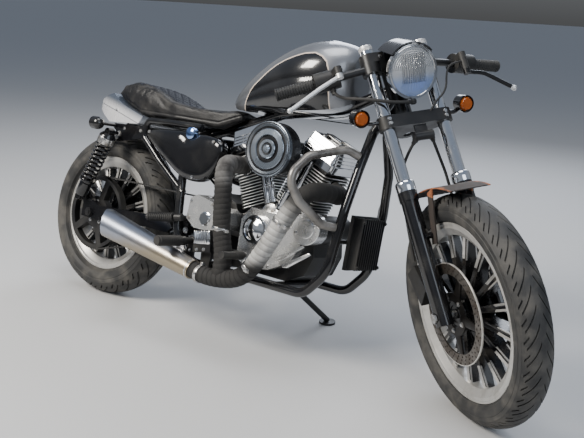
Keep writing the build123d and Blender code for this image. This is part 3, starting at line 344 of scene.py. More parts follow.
def chosen(*pieces):
    """Selects only these pieces, with the first one active."""
    bpy.context.view_layer.update()
    bpy.ops.object.select_all(action="DESELECT")
    for piece in pieces:
        piece.select_set(True)
    bpy.context.view_layer.objects.active = pieces[0]


def joined(pieces):
    """Joins pieces into the first one."""
    chosen(*pieces)
    bpy.ops.object.join()
    return bpy.context.object


def copies(piece, places):
    """Puts a copy of a piece, each with its own mesh, at every place and joins them."""
    made = []
    for place in places:
        copy = piece.copy()
        copy.data = piece.data.copy()
        copy.matrix_world = place
        bpy.context.collection.objects.link(copy)
        made.append(copy)
    bpy.data.objects.remove(piece)
    return joined(made)


def rooted(piece, where=None):
    """Puts a piece in its place and leaves that place in its mesh."""
    chosen(piece)
    piece.matrix_world = (where or Matrix.Identity(4)) @ piece.matrix_world
    bpy.ops.object.transform_apply(location=True, rotation=True, scale=True)
    return piece


def on_both_sides(piece):
    """Mirrors a piece from one side of the machine to the other."""
    return change(rooted(piece), "MIRROR", use_axis=(False, True, False), use_mirror_merge=False)


def settle(piece, name, finish, where=machine, body="chassis", replaced=(), angle=35):
    """Puts a modelled piece where it belongs, smooths it, and gives it its finish and its body."""
    rooted(piece, where)
    bpy.ops.object.shade_smooth_by_angle(angle=math.radians(angle))
    piece.name = name
    piece.data.materials.clear()
    piece.data.materials.append(finish.material)
    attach(piece, body)
    if replaced:
        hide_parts(*replaced)
    return piece


def bolts(
    name, spots, radius, height, where=machine, body="chassis", finish=bolt_steel, both=False, way=(0, -1, 0),
):
    """Hexagon bolts on washers at points. Their heads face one way, or the way given with a point."""
    head = turned([
        (0, height), (0.8 * radius, height), (radius, 0.8 * height), (radius, 0.2 * height),
        (0, 0.2 * height),
    ], 6)
    washer = turned([
        (0, 0.22 * height), (1.25 * radius, 0.22 * height), (1.25 * radius, -0.6), (0, -0.6),
    ], 20)
    made = copies(
        joined([head, washer]), [facing(*spot) if len(spot) == 2 else facing(spot, way) for spot in spots],
    )
    return settle(on_both_sides(made) if both else made, name, finish, where, body)


finish_cad(gloss_black, "frame", "swingarm")
bolts("frame_bolts", [
    (478, -118, 345), (66, -112, 630), (548, -158, 322), (548, -158, 256),
], 9, 7, both=True)
bolts("seat_rail_bolts", [(90, -112, 652), (176, -112, 654), (60, -112, 614)],
      5, 4, both=True)

# Shock absorbers: a black body and a rod inside a black coil spring wound from steel bar,
# under a slotted steel ring and a black cap. Each is held by a rubber-bushed eye at both
# ends.
SHOCK_TOP = Vector((66, -157, 630))
SHOCK_FOOT = Vector((-40, -157, 374))
SPRING_TURNS = 9
shock_way = (SHOCK_TOP - SHOCK_FOOT).normalized()
shock_length = (SHOCK_TOP - SHOCK_FOOT).length
shock_place = facing(SHOCK_FOOT, shock_way)

shock_body = turned([
    (0, 8), (21, 8), (23, 11), (23, 58), (20, 62), (20, 66), (29.5, 67), (30.5, 69), (30.5, 75),
    (29.5, 77), (0, 77),
], 40, at=shock_place)
settle(on_both_sides(shock_body), "shock_lower_bodies", gloss_black, replaced=("shock_bodies",))
rod_and_cap = joined([
    turned([(0, 70), (9, 70), (9, shock_length - 30), (0, shock_length - 30)], 20),
    turned([
        (0, shock_length - 21), (31, shock_length - 21), (30, shock_length - 17), (20, shock_length - 4),
        (0, shock_length - 2),
    ], 40),
])
rod_and_cap.matrix_world = shock_place
eyes = [
    turned([(6.3, -14), (13, -14), (14, -13), (14, 13), (13, 14), (6.3, 14), (6.3, -14)], 32, facing(end))
    for end in (SHOCK_FOOT, SHOCK_TOP)
]
settle(on_both_sides(joined([rod_and_cap, *eyes])), "shock_caps", gloss_black)


def pick(piece, test, faces=False):
    """Goes into edit mode with only the vertices, or the faces, whose middles pass a test selected."""
    bpy.ops.object.mode_set(mode="OBJECT")
    bpy.context.tool_settings.mesh_select_mode = (not faces, False, faces)
    mesh = piece.data
    for items in (mesh.vertices, mesh.edges, mesh.polygons):
        items.foreach_set("select", [False] * len(items))
    for item in mesh.polygons if faces else mesh.vertices:
        item.select = test(item.center if faces else item.co)
    bpy.ops.object.mode_set(mode="EDIT")


def pressed(piece, test, depth):
    """Moves the faces that pass a test in or out along their normals, with walls round them."""
    pick(piece, test, True)
    bpy.ops.mesh.extrude_region_shrink_fatten(TRANSFORM_OT_shrink_fatten={"value": depth})
    bpy.ops.object.mode_set(mode="OBJECT")


def around_z(middle):
    """The direction of a point about Z, in degrees."""
    return math.degrees(math.atan2(middle.y, middle.x))


slotted = turned([(26, -46), (31, -46), (31.4, -45), (31.4, -22), (31, -21), (26, -21), (26, -46)], 96)
pressed(
    slotted, lambda middle: -44 < middle.z < -23 and middle.xy.length > 31 and around_z(middle) % 30 > 15, -3,
)
slotted.matrix_world = shock_place @ Matrix.Translation((0, 0, shock_length))
settle(on_both_sides(slotted), "shock_slotted_rings", bolt_steel)

spring_pitch = (shock_length - 46 - 78) / SPRING_TURNS
bpy.ops.mesh.primitive_circle_add(
    vertices=12, radius=4.2, location=(25.2, 0, 0), rotation=(math.pi / 2, 0, 0),
)
spring = rooted(bpy.context.object)
change(
    spring, "SCREW", angle=2 * math.pi, steps=28, render_steps=28, iterations=SPRING_TURNS,
    screw_offset=spring_pitch,
)
cleaned(0.01, closed=True)
spring.matrix_world = shock_place @ Matrix.Translation((0, 0, 79))
settle(on_both_sides(spring), "shock_springs_wound", gloss_black, replaced=("shock_springs",))

# Wheels: cast aluminium sprayed black, with the rims and the outer ends of the spokes
# machined bright. Each has sixteen straight spokes with a sunk face between two ribs.
SPOKES = 16
RIM_LIP = 13
FRONT_RIM, REAR_RIM = (256, 72), (217, 92)  # radius and width
AXLE_WAY = Matrix.Rotation(-math.pi / 2, 4, "X")  # what is turned about Z lies along an axle


def wheel_finish(name, where, rim_radius, rim_width, hub_width):
    """Black paint that is cut away where the lathe has faced the casting."""
    cast = Finish(name, "gloss_black")
    ahead, left, above = cast.axes(where)
    radius = (ahead * ahead + above * above) ** 0.5
    side = abs(left)
    slope = (0.25 * hub_width - 0.2 * rim_width) / (rim_radius - 64)
    spoke_face = 0.25 * hub_width - (radius - 29) * slope
    spokes = (side > spoke_face - 5) * (radius > 0.6 * rim_radius)
    cut = spokes.most(radius > rim_radius - 39.5)
    grime = cast.noise(22, 5).between(0.42, 0.72)
    paint = cast.mix(grime, (0.006, 0.006, 0.007), (0.03, 0.027, 0.024))
    metal = cast.mix(grime, (0.52, 0.51, 0.49), (0.38, 0.37, 0.35))
    cast.set("Base Color", cast.mix(cut, paint, metal))
    cast.set("Metallic", cut * 0.6)
    cast.set("Roughness", 0.2 + grime * 0.2 + cut * 0.14)
    return cast


def cast_wheel(node, where, rim_radius, rim_width, hub_width):
    half = rim_width / 2
    edge = [
        (rim_radius, half - 5), (rim_radius, half - 1), (rim_radius - 1.2, half), (rim_radius - 7, half),
        (rim_radius - 9, half - 1.5), (rim_radius - 17, half - 1.5), (rim_radius - 20, half - 4),
        (rim_radius - 34, half - 13), (rim_radius - 38, half - 16),
    ]
    seat = [(rim_radius - 30, 18 - half), (rim_radius - 30, half - 18), (rim_radius - RIM_LIP, half - 5)]
    rim = turned([
        *edge, *[(radius, -side) for radius, side in reversed(edge)], (rim_radius - RIM_LIP, 5 - half), *seat,
        edge[0],
    ], 128, AXLE_WAY)
    hub_half = hub_width / 2
    hub = turned([
        (9.4, hub_half - 3), (24, hub_half - 3), (25, hub_half), (37, hub_half), (38, hub_half - 1),
        (38, hub_half - 14), (34, hub_half - 20), (34, 20 - hub_half), (38, 14 - hub_half),
        (38, 1 - hub_half), (37, -hub_half), (25, -hub_half), (24, 3 - hub_half), (9.4, 3 - hub_half),
        (9.4, hub_half - 3),
    ], 48, AXLE_WAY)
    inner, outer = 29.0, rim_radius - 35
    bpy.context.tool_settings.mesh_select_mode = (True, False, False)
    bpy.ops.mesh.primitive_cube_add(size=1, enter_editmode=True)
    bpy.ops.transform.resize(value=(19, 0.5 * hub_width, outer - inner))
    bpy.ops.transform.translate(value=(0, 0, (outer + inner) / 2))
    spoke = bpy.context.object
    pick(spoke, lambda spot: spot.z > inner + 1)
    bpy.ops.transform.resize(
        value=(0.95, 0.4 * rim_width / (0.5 * hub_width), 1), center_override=(0, 0, outer),
    )
    bpy.ops.mesh.select_all(action="SELECT")
    bpy.ops.mesh.subdivide(number_cuts=1)
    pick(spoke, lambda spot: abs(spot.z - outer) < 1 and abs(spot.x) > 2)
    bpy.ops.transform.resize(value=(1.25, 1, 1), center_override=(0, 0, outer))

    def spoke_face(middle):
        return abs(middle.y) > 0.18 * rim_width and inner + 2 < middle.z < outer - 2 and abs(middle.x) < 8

    pick(spoke, spoke_face, True)
    bpy.ops.mesh.inset(thickness=7.2, depth=-6.0)
    bpy.ops.object.mode_set(mode="OBJECT")
    change(spoke, "BEVEL", width=0.7, segments=1, angle_limit=math.radians(35))
    spokes = copies(spoke, [Matrix.Rotation(2 * math.pi * count / SPOKES, 4, "Y") for count in range(SPOKES)])
    finish = wheel_finish(node + "_casting", where, rim_radius, rim_width, hub_width)
    settle(joined([rim, hub, spokes]), node + "_cast", finish, where, node, (node,), 30)


cast_wheel("front_wheel", front_wheel_place, *FRONT_RIM, 106)
cast_wheel("rear_wheel", rear_wheel_place, *REAR_RIM, 152)

# Tyres: black rubber with a round crown, moulded grooves that sweep from the middle of
# the tread to the shoulders, ribbed side walls and a raised ring that guards the rim.
tyre_rubber = Finish("tyre_rubber", "tyre", IOR=1.45)
dust = tyre_rubber.noise(16, 5).between(0.4, 0.72)
tyre_rubber.set("Base Color", tyre_rubber.mix(dust, (0.022, 0.022, 0.022), (0.085, 0.08, 0.072)))
tyre_rubber.set("Roughness", 0.58 + dust * 0.25)
tyre_rubber.bump(tyre_rubber.noise(700, 3), 0.25, 0.0006)


def tyre(node, where, radius, width, rim_radius, rim_width, pitches, sweep, groove, centre_groove, depth):
    """A tread moulded flat, one pitch at a time, wrapped round the crown and joined to two side walls."""
    shoulder = 0.94 * width / 2
    sagitta = 0.27 * width
    crown = (shoulder**2 + sagitta**2) / (2 * sagitta)
    arc = crown * math.asin(shoulder / crown)
    pitch = 2 * math.pi * radius / pitches
    rows = (0, groove / 2, groove, 0.36, 0.5, 0.5 + groove / 2, 0.5 + groove, 0.86, 1)
    columns = (
        -1, -0.9, -0.78, -0.64, -0.5, -0.36, -0.22, -0.12, -0.04, 0.04, 0.12, 0.22, 0.36, 0.5, 0.64, 0.78,
        0.9, 1,
    )
    bpy.ops.mesh.primitive_grid_add(x_subdivisions=len(rows) - 1, y_subdivisions=len(columns) - 1, size=2)
    tread = bpy.context.object

    def hook(column):
        return sweep * abs(column) ** 0.55

    for vertex in tread.data.vertices:
        row = rows[round((vertex.co.x + 1) / 2 * (len(rows) - 1))]
        column = columns[round((vertex.co.y + 1) / 2 * (len(columns) - 1))]
        vertex.co = (pitch * (row + hook(column)), arc * column, 0)

    def sunk(middle):
        column = middle.y / arc
        row = middle.x / pitch - hook(column)
        long_groove = -0.1 < row < 0.9 * groove if column > 0 else 0.46 < row < 0.5 + 0.9 * groove
        short_groove = 0.46 < row < 0.5 + 0.9 * groove if column > 0 else -0.1 < row < 0.9 * groove
        far = abs(column)
        shoulder_cut = short_groove and 0.64 < far < 0.9
        return long_groove and 0.12 < far < 0.78 or shoulder_cut or centre_groove and far < 0.03

    pick(tread, sunk, True)
    bpy.ops.mesh.extrude_region_move(TRANSFORM_OT_translate={"value": (0, 0, -depth)})
    bpy.ops.object.mode_set(mode="OBJECT")
    change(tread, "ARRAY", count=pitches, use_relative_offset=False, use_constant_offset=True,
           constant_offset_displace=(pitch, 0, 0), use_merge_vertices=True, merge_threshold=0.05)
    for vertex in tread.data.vertices:
        around, across = vertex.co.x / radius, vertex.co.y / crown
        reach = radius - crown + (crown + vertex.co.z) * math.cos(across)
        vertex.co = (
            reach * math.sin(around), (crown + vertex.co.z) * math.sin(across), reach * math.cos(around),
        )
    cleaned(0.05, outward=False)
    top = radius - sagitta
    tall = top - rim_radius
    wall = [
        (top + 0.6, shoulder - 0.9), (top - 0.03 * tall, shoulder + 0.012 * width),
        (top - 0.2 * tall, 0.49 * width), (top - 0.23 * tall, 0.483 * width),
        (top - 0.28 * tall, 0.483 * width), (top - 0.31 * tall, 0.496 * width),
        (top - 0.5 * tall, 0.499 * width), (top - 0.68 * tall, 0.48 * width),
        (top - 0.71 * tall, 0.466 * width), (top - 0.8 * tall, 0.448 * width),
        (rim_radius + 5, rim_width / 2 + 2), (rim_radius + 2, rim_width / 2 + 1),
        (rim_radius + 0.4, rim_width / 2 - 4), (rim_radius - RIM_LIP + 0.4, rim_width / 2 - 6),
    ]
    walls = turned([*wall, *[(radius, -side) for radius, side in reversed(wall)]], 128, at=AXLE_WAY)
    wheel = node.replace("tyre", "wheel")
    settle(joined([tread, walls]), node + "_moulded", tyre_rubber, where, wheel, (node,))


REAR_RADIUS = 308
tyre("front_tyre", front_wheel_place, FRONT_RADIUS, 100, *FRONT_RIM, 44, 2.4, 0.15, False, 4.0)
tyre("rear_tyre", rear_wheel_place, REAR_RADIUS, 132, *REAR_RIM, 30, -2.0, 0.14, True, 6.0)

# Brake discs: flat steel bands drilled in rows and stained brown by heat and dust, on
# slotted carriers that bolt to the hubs. The calipers are black castings held by two
# bolts each.
def disc_steel(name, where):
    """Steel with a dark carrier, a brown band and a bright outer edge."""
    steel = Finish(name, "brushed_steel", Metallic=0.9)
    ahead, left, above = steel.axes(where)
    radius = (ahead * ahead + above * above) ** 0.5
    stain = steel.noise(26, 5).between(0.38, 0.7)
    band = steel.mix(stain, (0.17, 0.155, 0.14), (0.085, 0.068, 0.055))
    band = steel.mix(radius < 112, band, (0.028, 0.025, 0.023))
    steel.set("Base Color", steel.mix(radius > 143.4, band, (0.72, 0.70, 0.66)))
    steel.set("Roughness", 0.34 + stain * 0.2)
    return steel


def slab(points, low, high, bevel=0.0, at=None):
    """Cuts a plate to an outline in its XY plane, between two heights, and stands it in a place."""
    bpy.context.tool_settings.mesh_select_mode = (True, False, False)
    bpy.ops.mesh.primitive_circle_add(vertices=len(points), radius=1, enter_editmode=True)
    bpy.ops.mesh.edge_face_add()
    bpy.ops.object.mode_set(mode="OBJECT")
    piece = bpy.context.object
    for vertex, (x, y) in zip(piece.data.vertices, points):
        vertex.co = (x, y, low)
    bpy.ops.object.mode_set(mode="EDIT")
    bpy.ops.mesh.select_all(action="SELECT")
    bpy.ops.mesh.extrude_region_move(TRANSFORM_OT_translate={"value": (0, 0, high - low)})
    bpy.ops.mesh.select_all(action="SELECT")
    bpy.ops.mesh.normals_make_consistent(inside=False)
    bpy.ops.object.mode_set(mode="OBJECT")
    if bevel:
        change(piece, "BEVEL", width=bevel, segments=2, angle_limit=math.radians(40))
    piece.matrix_world = at or piece.matrix_world
    return piece


def brake_disc(outer, band, carrier, bore, side):
    """A drilled band on five arms, at a distance along the axle."""
    inner = outer - band
    ring = turned([
        (inner, -2.5), (inner, 2.5), (outer - 0.6, 2.5), (outer, 2), (outer, -2), (outer - 0.6, -2.5),
        (inner, -2.5),
    ], 96)
    bpy.ops.mesh.primitive_cylinder_add(vertices=10, radius=3, depth=12)
    drill = copies(bpy.context.object, [
        Matrix.Rotation(math.radians(10 * turn + 3.4 * row), 4, "Z")
        @ Matrix.Translation((inner + 6 + 9.5 * row, 0, 0))
        for turn in range(36) for row in range(3)
    ])
    change(ring, "BOOLEAN", object=drill, operation="DIFFERENCE", solver="EXACT")
    bpy.data.objects.remove(drill)
    hub = turned([(bore, -2.5), (bore, 2.5), (carrier, 2.5), (carrier, -2.5), (bore, -2.5)], 64)
    arm = slab([
        (carrier - 6, -16), (inner - 6, -10), (inner + 3, -10), (inner + 3, 10), (inner - 6, 10),
        (carrier - 6, 16),
    ], -2.4, 2.4, 0.5)
    arms = copies(arm, [Matrix.Rotation(math.radians(72 * count), 4, "Z") for count in range(5)])
    disc = joined([ring, hub, arms])
    disc.matrix_world = Matrix.Translation((0, side, 0)) @ AXLE_WAY
    return disc


settle(
    joined([brake_disc(146, 32, 62, 38.3, 55.8), brake_disc(146, 32, 62, 38.3, -55.8)]), "front_brake_discs",
    disc_steel("front_disc_steel", front_wheel_place), front_wheel_place, "front_wheel", ("front_discs",),
)
settle(
    brake_disc(146, 34, 56, 21, 78.8), "rear_brake_disc", disc_steel("rear_disc_steel", rear_wheel_place),
    rear_wheel_place, "rear_wheel", ("rear_disc",),
)


def circle(radius, side, start):
    """Five points round an axle, in millimetres and degrees."""
    turns = [math.radians(72 * count + start) for count in range(5)]
    return [(radius * math.sin(turn), side, radius * math.cos(turn)) for turn in turns]


for side in (-1, 1):
    bolts(f"front_disc_bolts_{side + 1}", circle(48, side * 58.4, 36), 6, 5,
          front_wheel_place, "front_wheel", way=(0, side, 0))
bolts("pulley_bolts", circle(42, -102.4, 0), 6, 5, rear_wheel_place, "rear_wheel")

# Belt drive: a toothed belt of black rubber on the right, between a cast black pulley
# that is bolted to the rear wheel and a small one on the gearbox.
belt_rubber = Finish("belt_rubber", "rubber", IOR=1.45)
ahead, left, above = belt_rubber.axes(machine)
teeth = ((ahead * 0.98 + above * 0.2) * 0.57).sine()
# Darker in the grooves between the teeth and lighter on them: painted shade in the grooves.
belt_rubber.set("Base Color", belt_rubber.mix(
    teeth.between(-0.4, 0.4), (0.010, 0.010, 0.010), (0.028, 0.027, 0.026),
))
belt_rubber.set("Roughness", 0.6 + teeth * 0.08)
belt_rubber.bump(teeth, 0.5, 0.0015)
finish_cad(belt_rubber, "belt_drive")
satin_black = dusted(
    "satin_black_paint", "satin_black", (0.007, 0.007, 0.008), (0.02, 0.019, 0.017), 0.36, 0.6, 0.4, 0.7,
    Metallic=0.1,
)
satin_black.bump(satin_black.noise(900, 2), 0.1, 0.0005)
finish_cad(
    satin_black, "rear_pulley", "rear_caliper", "front_calipers", "rear_axle", "side_stand", "crankcase",
)
finish_cad(bolt_steel, "front_axle")

# Engine: two air-cooled cylinders on a common crankcase. Their black fins are machined
# bright along the edges, and the rocker boxes, covers and pushrod tubes are chromed.
CRANK = (788, 0, 335)
TILTS = (-22.5, 22.5)


def cylinder_place(tilt):
    return Matrix.Translation(CRANK) @ Matrix.Rotation(math.radians(tilt), 4, "Y")


fin_black = Finish("finned_cylinder", "satin_black")
behind_crank = fin_black.axes(machine)[0] < CRANK[0]
bright = 0
for tilt, wanted in ((TILTS[0], behind_crank), (TILTS[1], 1 - behind_crank)):
    ahead, left, above = fin_black.axes(machine @ cylinder_place(tilt))
    head = above > 262
    width, depth = 71 + head * 4, 74 + head * 4
    rim = ((abs(ahead) / width) ** 8 + (abs(left) / depth) ** 8) ** 0.125
    bright = wanted * (rim > 0.962) * (above > 150) * (above < 346) + bright
grime = fin_black.noise(30, 5).between(0.4, 0.75)
paint = fin_black.mix(grime, (0.008, 0.008, 0.008), (0.03, 0.027, 0.024))
fin_black.set("Base Color", fin_black.mix(bright, paint, (0.7, 0.7, 0.69)))
fin_black.set("Metallic", bright * 0.95)
fin_black.set("Roughness", 0.34 + grime * 0.24)
finish_cad(fin_black, "cylinders")
chrome = dusted(
    "chrome_plate", "chrome", (0.80, 0.81, 0.83), (0.55, 0.55, 0.55), 0.07, 0.26, 0.5, 0.78, 14, Metallic=1.0,
)
finish_cad(chrome, "rocker_covers", "pushrod_tubes")


def box_outline(ahead, side, corner, steps=5):
    """A rectangle with rounded corners about the origin."""
    points = []
    for quarter, (x, y) in enumerate(((1, 1), (-1, 1), (-1, -1), (1, -1))):
        for step in range(steps + 1):
            turn = math.radians(90 * quarter + 90 * step / steps)
            points.append((
                x * (ahead / 2 - corner) + corner * math.cos(turn),
                y * (side / 2 - corner) + corner * math.sin(turn),
            ))
    return points


CYLINDERS = [cylinder_place(tilt) for tilt in TILTS]
ribs = [
    slab(box_outline(145.6 + spread, 149.6 + spread, 16), height, height + 3.4, 1.2)
    for height, spread in ((379, -2.0), (390, -7.5), (401, -13.0))
]
settle(copies(
    joined([*ribs, slab(box_outline(155.6, 159.6, 12), 368, 371.6, 1)]), CYLINDERS,
), "rocker_box_ribs", chrome)
settle(copies(slab(box_outline(152, 156, 12), 342, 346), CYLINDERS), "rocker_box_gaskets", satin_black)
bolts("rocker_box_bolts", [
    (place @ Vector((ahead, side, 425)), place.to_3x3() @ Vector((0, 0, 1)))
    for place in CYLINDERS for ahead in (-32, 32) for side in (-34, 34)
], 6, 6)
mount = slab([
    (-44, -16), (-38, -22), (30, -22), (40, -10), (40, 10), (30, 22), (-38, 22), (-44, 16),
], 425, 434, 3)
brace = slab([(14, -10), (60, -7), (92, -9), (92, 9), (60, 7), (14, 10)], 432, 441, 2)
settle(joined([mount, brace]), "front_head_mount", gloss_black, where=machine @ CYLINDERS[1])

# Pushrod tubes: thin chromed tubes that stand in pairs on the tappet blocks, with a
# collar at each end and a clip in the middle.
settle(copies(
    turned([
        (9, 150), (12.4, 151), (12.4, 161), (10.6, 163), (10.6, 206), (11.4, 207), (11.4, 213), (10.6, 214),
        (9.1, 216), (9.1, 322), (11.8, 324), (11.8, 340), (9, 342),
    ], 24),
    [
        cylinder_place(tilt) @ Matrix.Translation((ahead, -70, 0))
        for tilt, ahead in ((-22.5, 46), (-22.5, 68), (22.5, -30), (22.5, -4))
    ],
), "pushrod_collars", chrome)
UPRIGHT = Matrix.Rotation(math.pi / 2, 4, "X")  # what is drawn flat stands up and faces the right
settle(copies(
    slab([(-30, 0), (30, 0), (26, 22), (10, 30), (-10, 30), (-26, 22)], -9, 9, 2),
    [place @ Matrix.Translation((ahead, -78, 118)) @ UPRIGHT for place, ahead in zip(CYLINDERS, (57, -17))],
), "tappet_blocks", bolt_steel)

# Engine covers: polished and chromed castings on the right of the crankcase. The cam
# cover has a domed round cap, the front one a flat disc inside a plain ring, and the
# gearbox one a round plug.
polished = dusted(
    "polished_aluminium", "chrome", (0.86, 0.86, 0.85), (0.66, 0.65, 0.63), 0.2, 0.36, 0.42, 0.75, 18,
    Metallic=0.82,
)
finish_cad(polished, "engine_covers")
settle(turned([
    (0, 14), (16, 12.5), (30, 8), (36, 4), (38, 4), (39, 6), (45, 6), (46.5, 4), (46.5, -6), (0, -6),
], 64, at=facing((783, -132, 407))), "cam_cover_cap", chrome)
settle(turned([
    (0, 5), (28, 5), (30, 3.5), (49, 3.5), (50.6, 2), (50.6, -6), (0, -6),
], 64, at=facing((978, -132, 447))), "front_cover_cap", polished)
settle(turned([
    (0, 8), (19, 8), (21, 6), (21, 2), (24, 1), (24, -2), (0, -2),
], 40, at=facing((584, -150, 404))), "gearbox_plug", chrome)
settle(copies(
    slab([(0, 0), (96, 58), (104, 52), (26, -6), (8, -8)], -4, 5, 2),
    [Matrix.Translation(spot) @ UPRIGHT for spot in ((872, -118, 336), (900, -118, 318))],
), "cam_cover_fins", polished)
bolts("cover_bolts", [
    (990, -136, 484), (944, -136, 430), (1004, -136, 418), (728, -118, 306), (770, -118, 288),
    (848, -118, 300), (722, -118, 424), (748, -118, 464), (842, -118, 460), (512, -150, 452),
    (512, -150, 396), (668, -150, 402), (606, -150, 456),
], 4.6, 3)
bolts("primary_bolts", [
    (x, 148.4, z) for x, z in (
        (788, 426), (846, 400), (862, 350), (842, 298), (788, 278), (690, 286), (590, 304), (528, 330),
        (506, 378), (530, 430), (590, 450), (690, 440),
    )
], 4.6, 3, way=(0, 1, 0))
CLUTCH = facing((604, 148.3, 378), (0, 1, 0))
settle(
    joined([
        turned([(0, 5), (42, 4), (50, 0.5), (50, -3), (0, -3)], 56, at=CLUTCH),
        turned([(50, 0), (51, 2.4), (56, 2.4), (57, 0), (57, -3), (50, -3), (50, 0)], 56, at=CLUTCH),
        turned([
            (0, 4), (58, 3.4), (64, 0.5), (64, -3), (0, -3),
        ], 64, at=facing((788, 148.3, 352), (0, 1, 0))),
    ]), "primary_cover_caps", chrome,
)

# Air cleaner: a round black canister on the right of the heads. Its face is pressed in
# rings, a chromed rim, a pale ring and a small boss with the bolt that holds it.
ringed = Finish("air_cleaner_face", "chrome")
ahead, left, above = ringed.axes(machine)
ahead, above = ahead - 815, above - 668
radius = (ahead * ahead + above * above) ** 0.5
face = left < -170
pale = (radius > 43) * (radius < 64) + (radius > 19) * (radius < 31)
pale = pale + (radius < 13) + (radius > 84) + (radius > 78.6) * (radius < 80.2)
middling = (radius > 70) * (radius < 79.01)
dust = ringed.noise(20, 5).between(0.4, 0.75)
black = ringed.mix(dust, (0.006, 0.006, 0.007), (0.02, 0.02, 0.02))
grey = ringed.mix(dust, (0.17, 0.19, 0.215), (0.12, 0.125, 0.135))
silver = ringed.mix(dust, (0.27, 0.31, 0.36), (0.17, 0.19, 0.22))
ringed.set("Base Color", ringed.mix(pale * face, ringed.mix(middling * face, black, grey), silver))
ringed.set("Metallic", (pale + middling) * face * 0.85)
ringed.set("Roughness", 0.2 + dust * 0.2)
settle(turned([
    (0, 75.5), (8, 75), (11, 72), (12.5, 70), (15, 70), (17, 66.5), (19, 66.5), (21, 69), (29, 69), (31, 66),
    (33, 62), (41, 62), (43, 65), (45, 68.5), (62, 67.5), (64, 66), (65.5, 63), (70, 63), (71.5, 65.5),
    (78, 66.5), (79.5, 65), (81, 65), (83.5, 66.4), (86, 65.4), (87.2, 62.5), (87.2, 9), (84.5, 8), (84.5, 0),
    (0, 0),
], 112, at=facing((815, -118, 668))), "air_cleaner_canister", ringed, angle=28)


def line_along(name, points, radius=0.0, rounding=4, resolution=10):
    """One smooth open curve that follows its control points, as thick as its radius says."""
    line = bpy.data.curves.new(name, "CURVE")
    line.dimensions = "3D"
    line.bevel_depth = radius
    line.bevel_resolution = rounding
    line.use_fill_caps = True
    run = line.splines.new("NURBS")
    run.points.add(len(points) - 1)
    for point, spot in zip(run.points, points):
        point.co = (*spot, 1)
    run.order_u = 3
    run.use_endpoint_u = True
    run.resolution_u = resolution
    piece = bpy.data.objects.new(name, line)
    bpy.context.collection.objects.link(piece)
    return piece


def rod(points, radius):
    """A round rod or hose, made a mesh."""
    chosen(line_along("rod", points, radius))
    bpy.ops.object.convert(target="MESH")
    return bpy.context.object


settle(
    joined([
        rod([(726, -34, 600), (788, -50, 640), (788, -118, 655)], 20),
        rod([(850, -34, 600), (788, -50, 640), (788, -118, 655)], 20),
    ]), "intake_runners", satin_black, replaced=("air_cleaner",),
)

# Exhaust: two steel pipes wrapped in glass-fibre tape, each turn lapping the one before
# it and held by steel clamps. The front pipe's tape is bleached grey and the rear one's
# is stained black. Painted light lies on both: the front tape is dark above its pale band,
# a painted shadow, the rear tape is paler at its bend, a painted highlight, and each turn
# is darker where it laps under the next, a painted shade.
def tape_finish(name, dark, pale, low, high):
    """Woven tape, pale and stained between two heights and dark below and above them, darkest where it laps.
    The band and the dark beyond it carry painted light and shade, and the darkening at each lap is painted
    shade.
    """
    tape = Finish(name, "wrap")
    ahead, left, above = tape.axes(machine)
    weave = ((ahead + above) * 1.9).sine() * ((left * 1.4 + above * 1.2 - ahead) * 1.9).sine()
    stain = tape.noise(18, 6).between(0.34, 0.7)
    # The lap value darkens each turn where it runs under the next: painted shade.
    lap = tape.node("Attribute", {"attribute_name": "lap"}, output=2)
    # Pale band: bleached tape on the front pipe, a painted highlight on the rear pipe's bend; the dark above
    # it on the front pipe is a painted shadow.
    pale_band_and_painted_light = (above - low).between(-22, 26) * (1 - (above - high).between(-30, 40))
    cloth = tape.mix(pale_band_and_painted_light, (0.016, 0.015, 0.014), tape.mix(stain, pale, dark))
    tape.set("Base Color", tape.mix(lap * 0.5, cloth, (0.012, 0.011, 0.010)))
    tape.set("Roughness", 0.8 + stain * 0.1)
    tape.bump(weave * 0.5 + tape.noise(500, 3), 0.35, 0.0008)
    return tape


def wrapped(name, finish, route, pitch, radius=26.4):
    """Tape wound about Z in lapped turns and then bent along a pipe's route."""
    line = line_along("pipe_line", route, resolution=24)
    turns = int((line.data.splines[0].calc_length() - 4) / pitch)
    drawn([
        (radius - 1.2, 0), (radius + 2.0, 0.8), (radius + 2.6, 2.6), (radius + 2.4, pitch * 0.6),
        (radius + 0.6, pitch * 1.1),
    ])
    bpy.ops.object.mode_set(mode="OBJECT")
    tape = bpy.context.object
    # Lap values: dark at the edge that tucks under the next turn, a painted shade.
    tape.data.attributes.new("lap", "FLOAT", "POINT").data.foreach_set("value", (0.9, 0.3, 0.0, 0.0, 0.7))
    change(
        tape, "SCREW", angle=2 * math.pi, steps=26, render_steps=26, iterations=turns, screw_offset=pitch,
        use_merge_vertices=False,
    )
    bpy.context.view_layer.update()
    change(tape, "CURVE", object=line, deform_axis="POS_Z")
    bpy.data.objects.remove(line)
    return settle(tape, name, finish)


# Front tape: dark above 500, a painted shadow of the engine guard. Rear tape: pale between 540 and 900, a
# painted highlight on its bend.
front_tape = tape_finish("bleached_tape_painted_shadow", (0.24, 0.235, 0.225), (0.52, 0.51, 0.49), 318, 500)
rear_tape = tape_finish("stained_tape_painted_highlight", (0.03, 0.028, 0.027), (0.13, 0.125, 0.12), 540, 900)
FRONT_PIPE = (
    (978, -34, 580), (1034, -34, 557), (1030, -150, 574), (980, -202, 552), (880, -206, 340),
    (820, -204, 252), (700, -206, 228), (620, -208, 239), (587, -209, 245),
)
REAR_PIPE = (
    (672, -84, 600), (672, -150, 602), (672, -206, 600), (690, -206, 500), (704, -206, 400), (742, -206, 288),
    (730, -204, 236),
)
front_wrap = wrapped("front_pipe_tape", front_tape, FRONT_PIPE, 19)
rear_wrap = wrapped("rear_pipe_tape", rear_tape, REAR_PIPE, 17)
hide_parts("exhaust_pipes")
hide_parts("exhaust_pipes")
ports = [rod([(978, -34, 580), (1010, -34, 567)], 29), rod([(672, -84, 600), (672, -98, 600)], 29)]
settle(joined(ports), "exhaust_flanges", chrome)


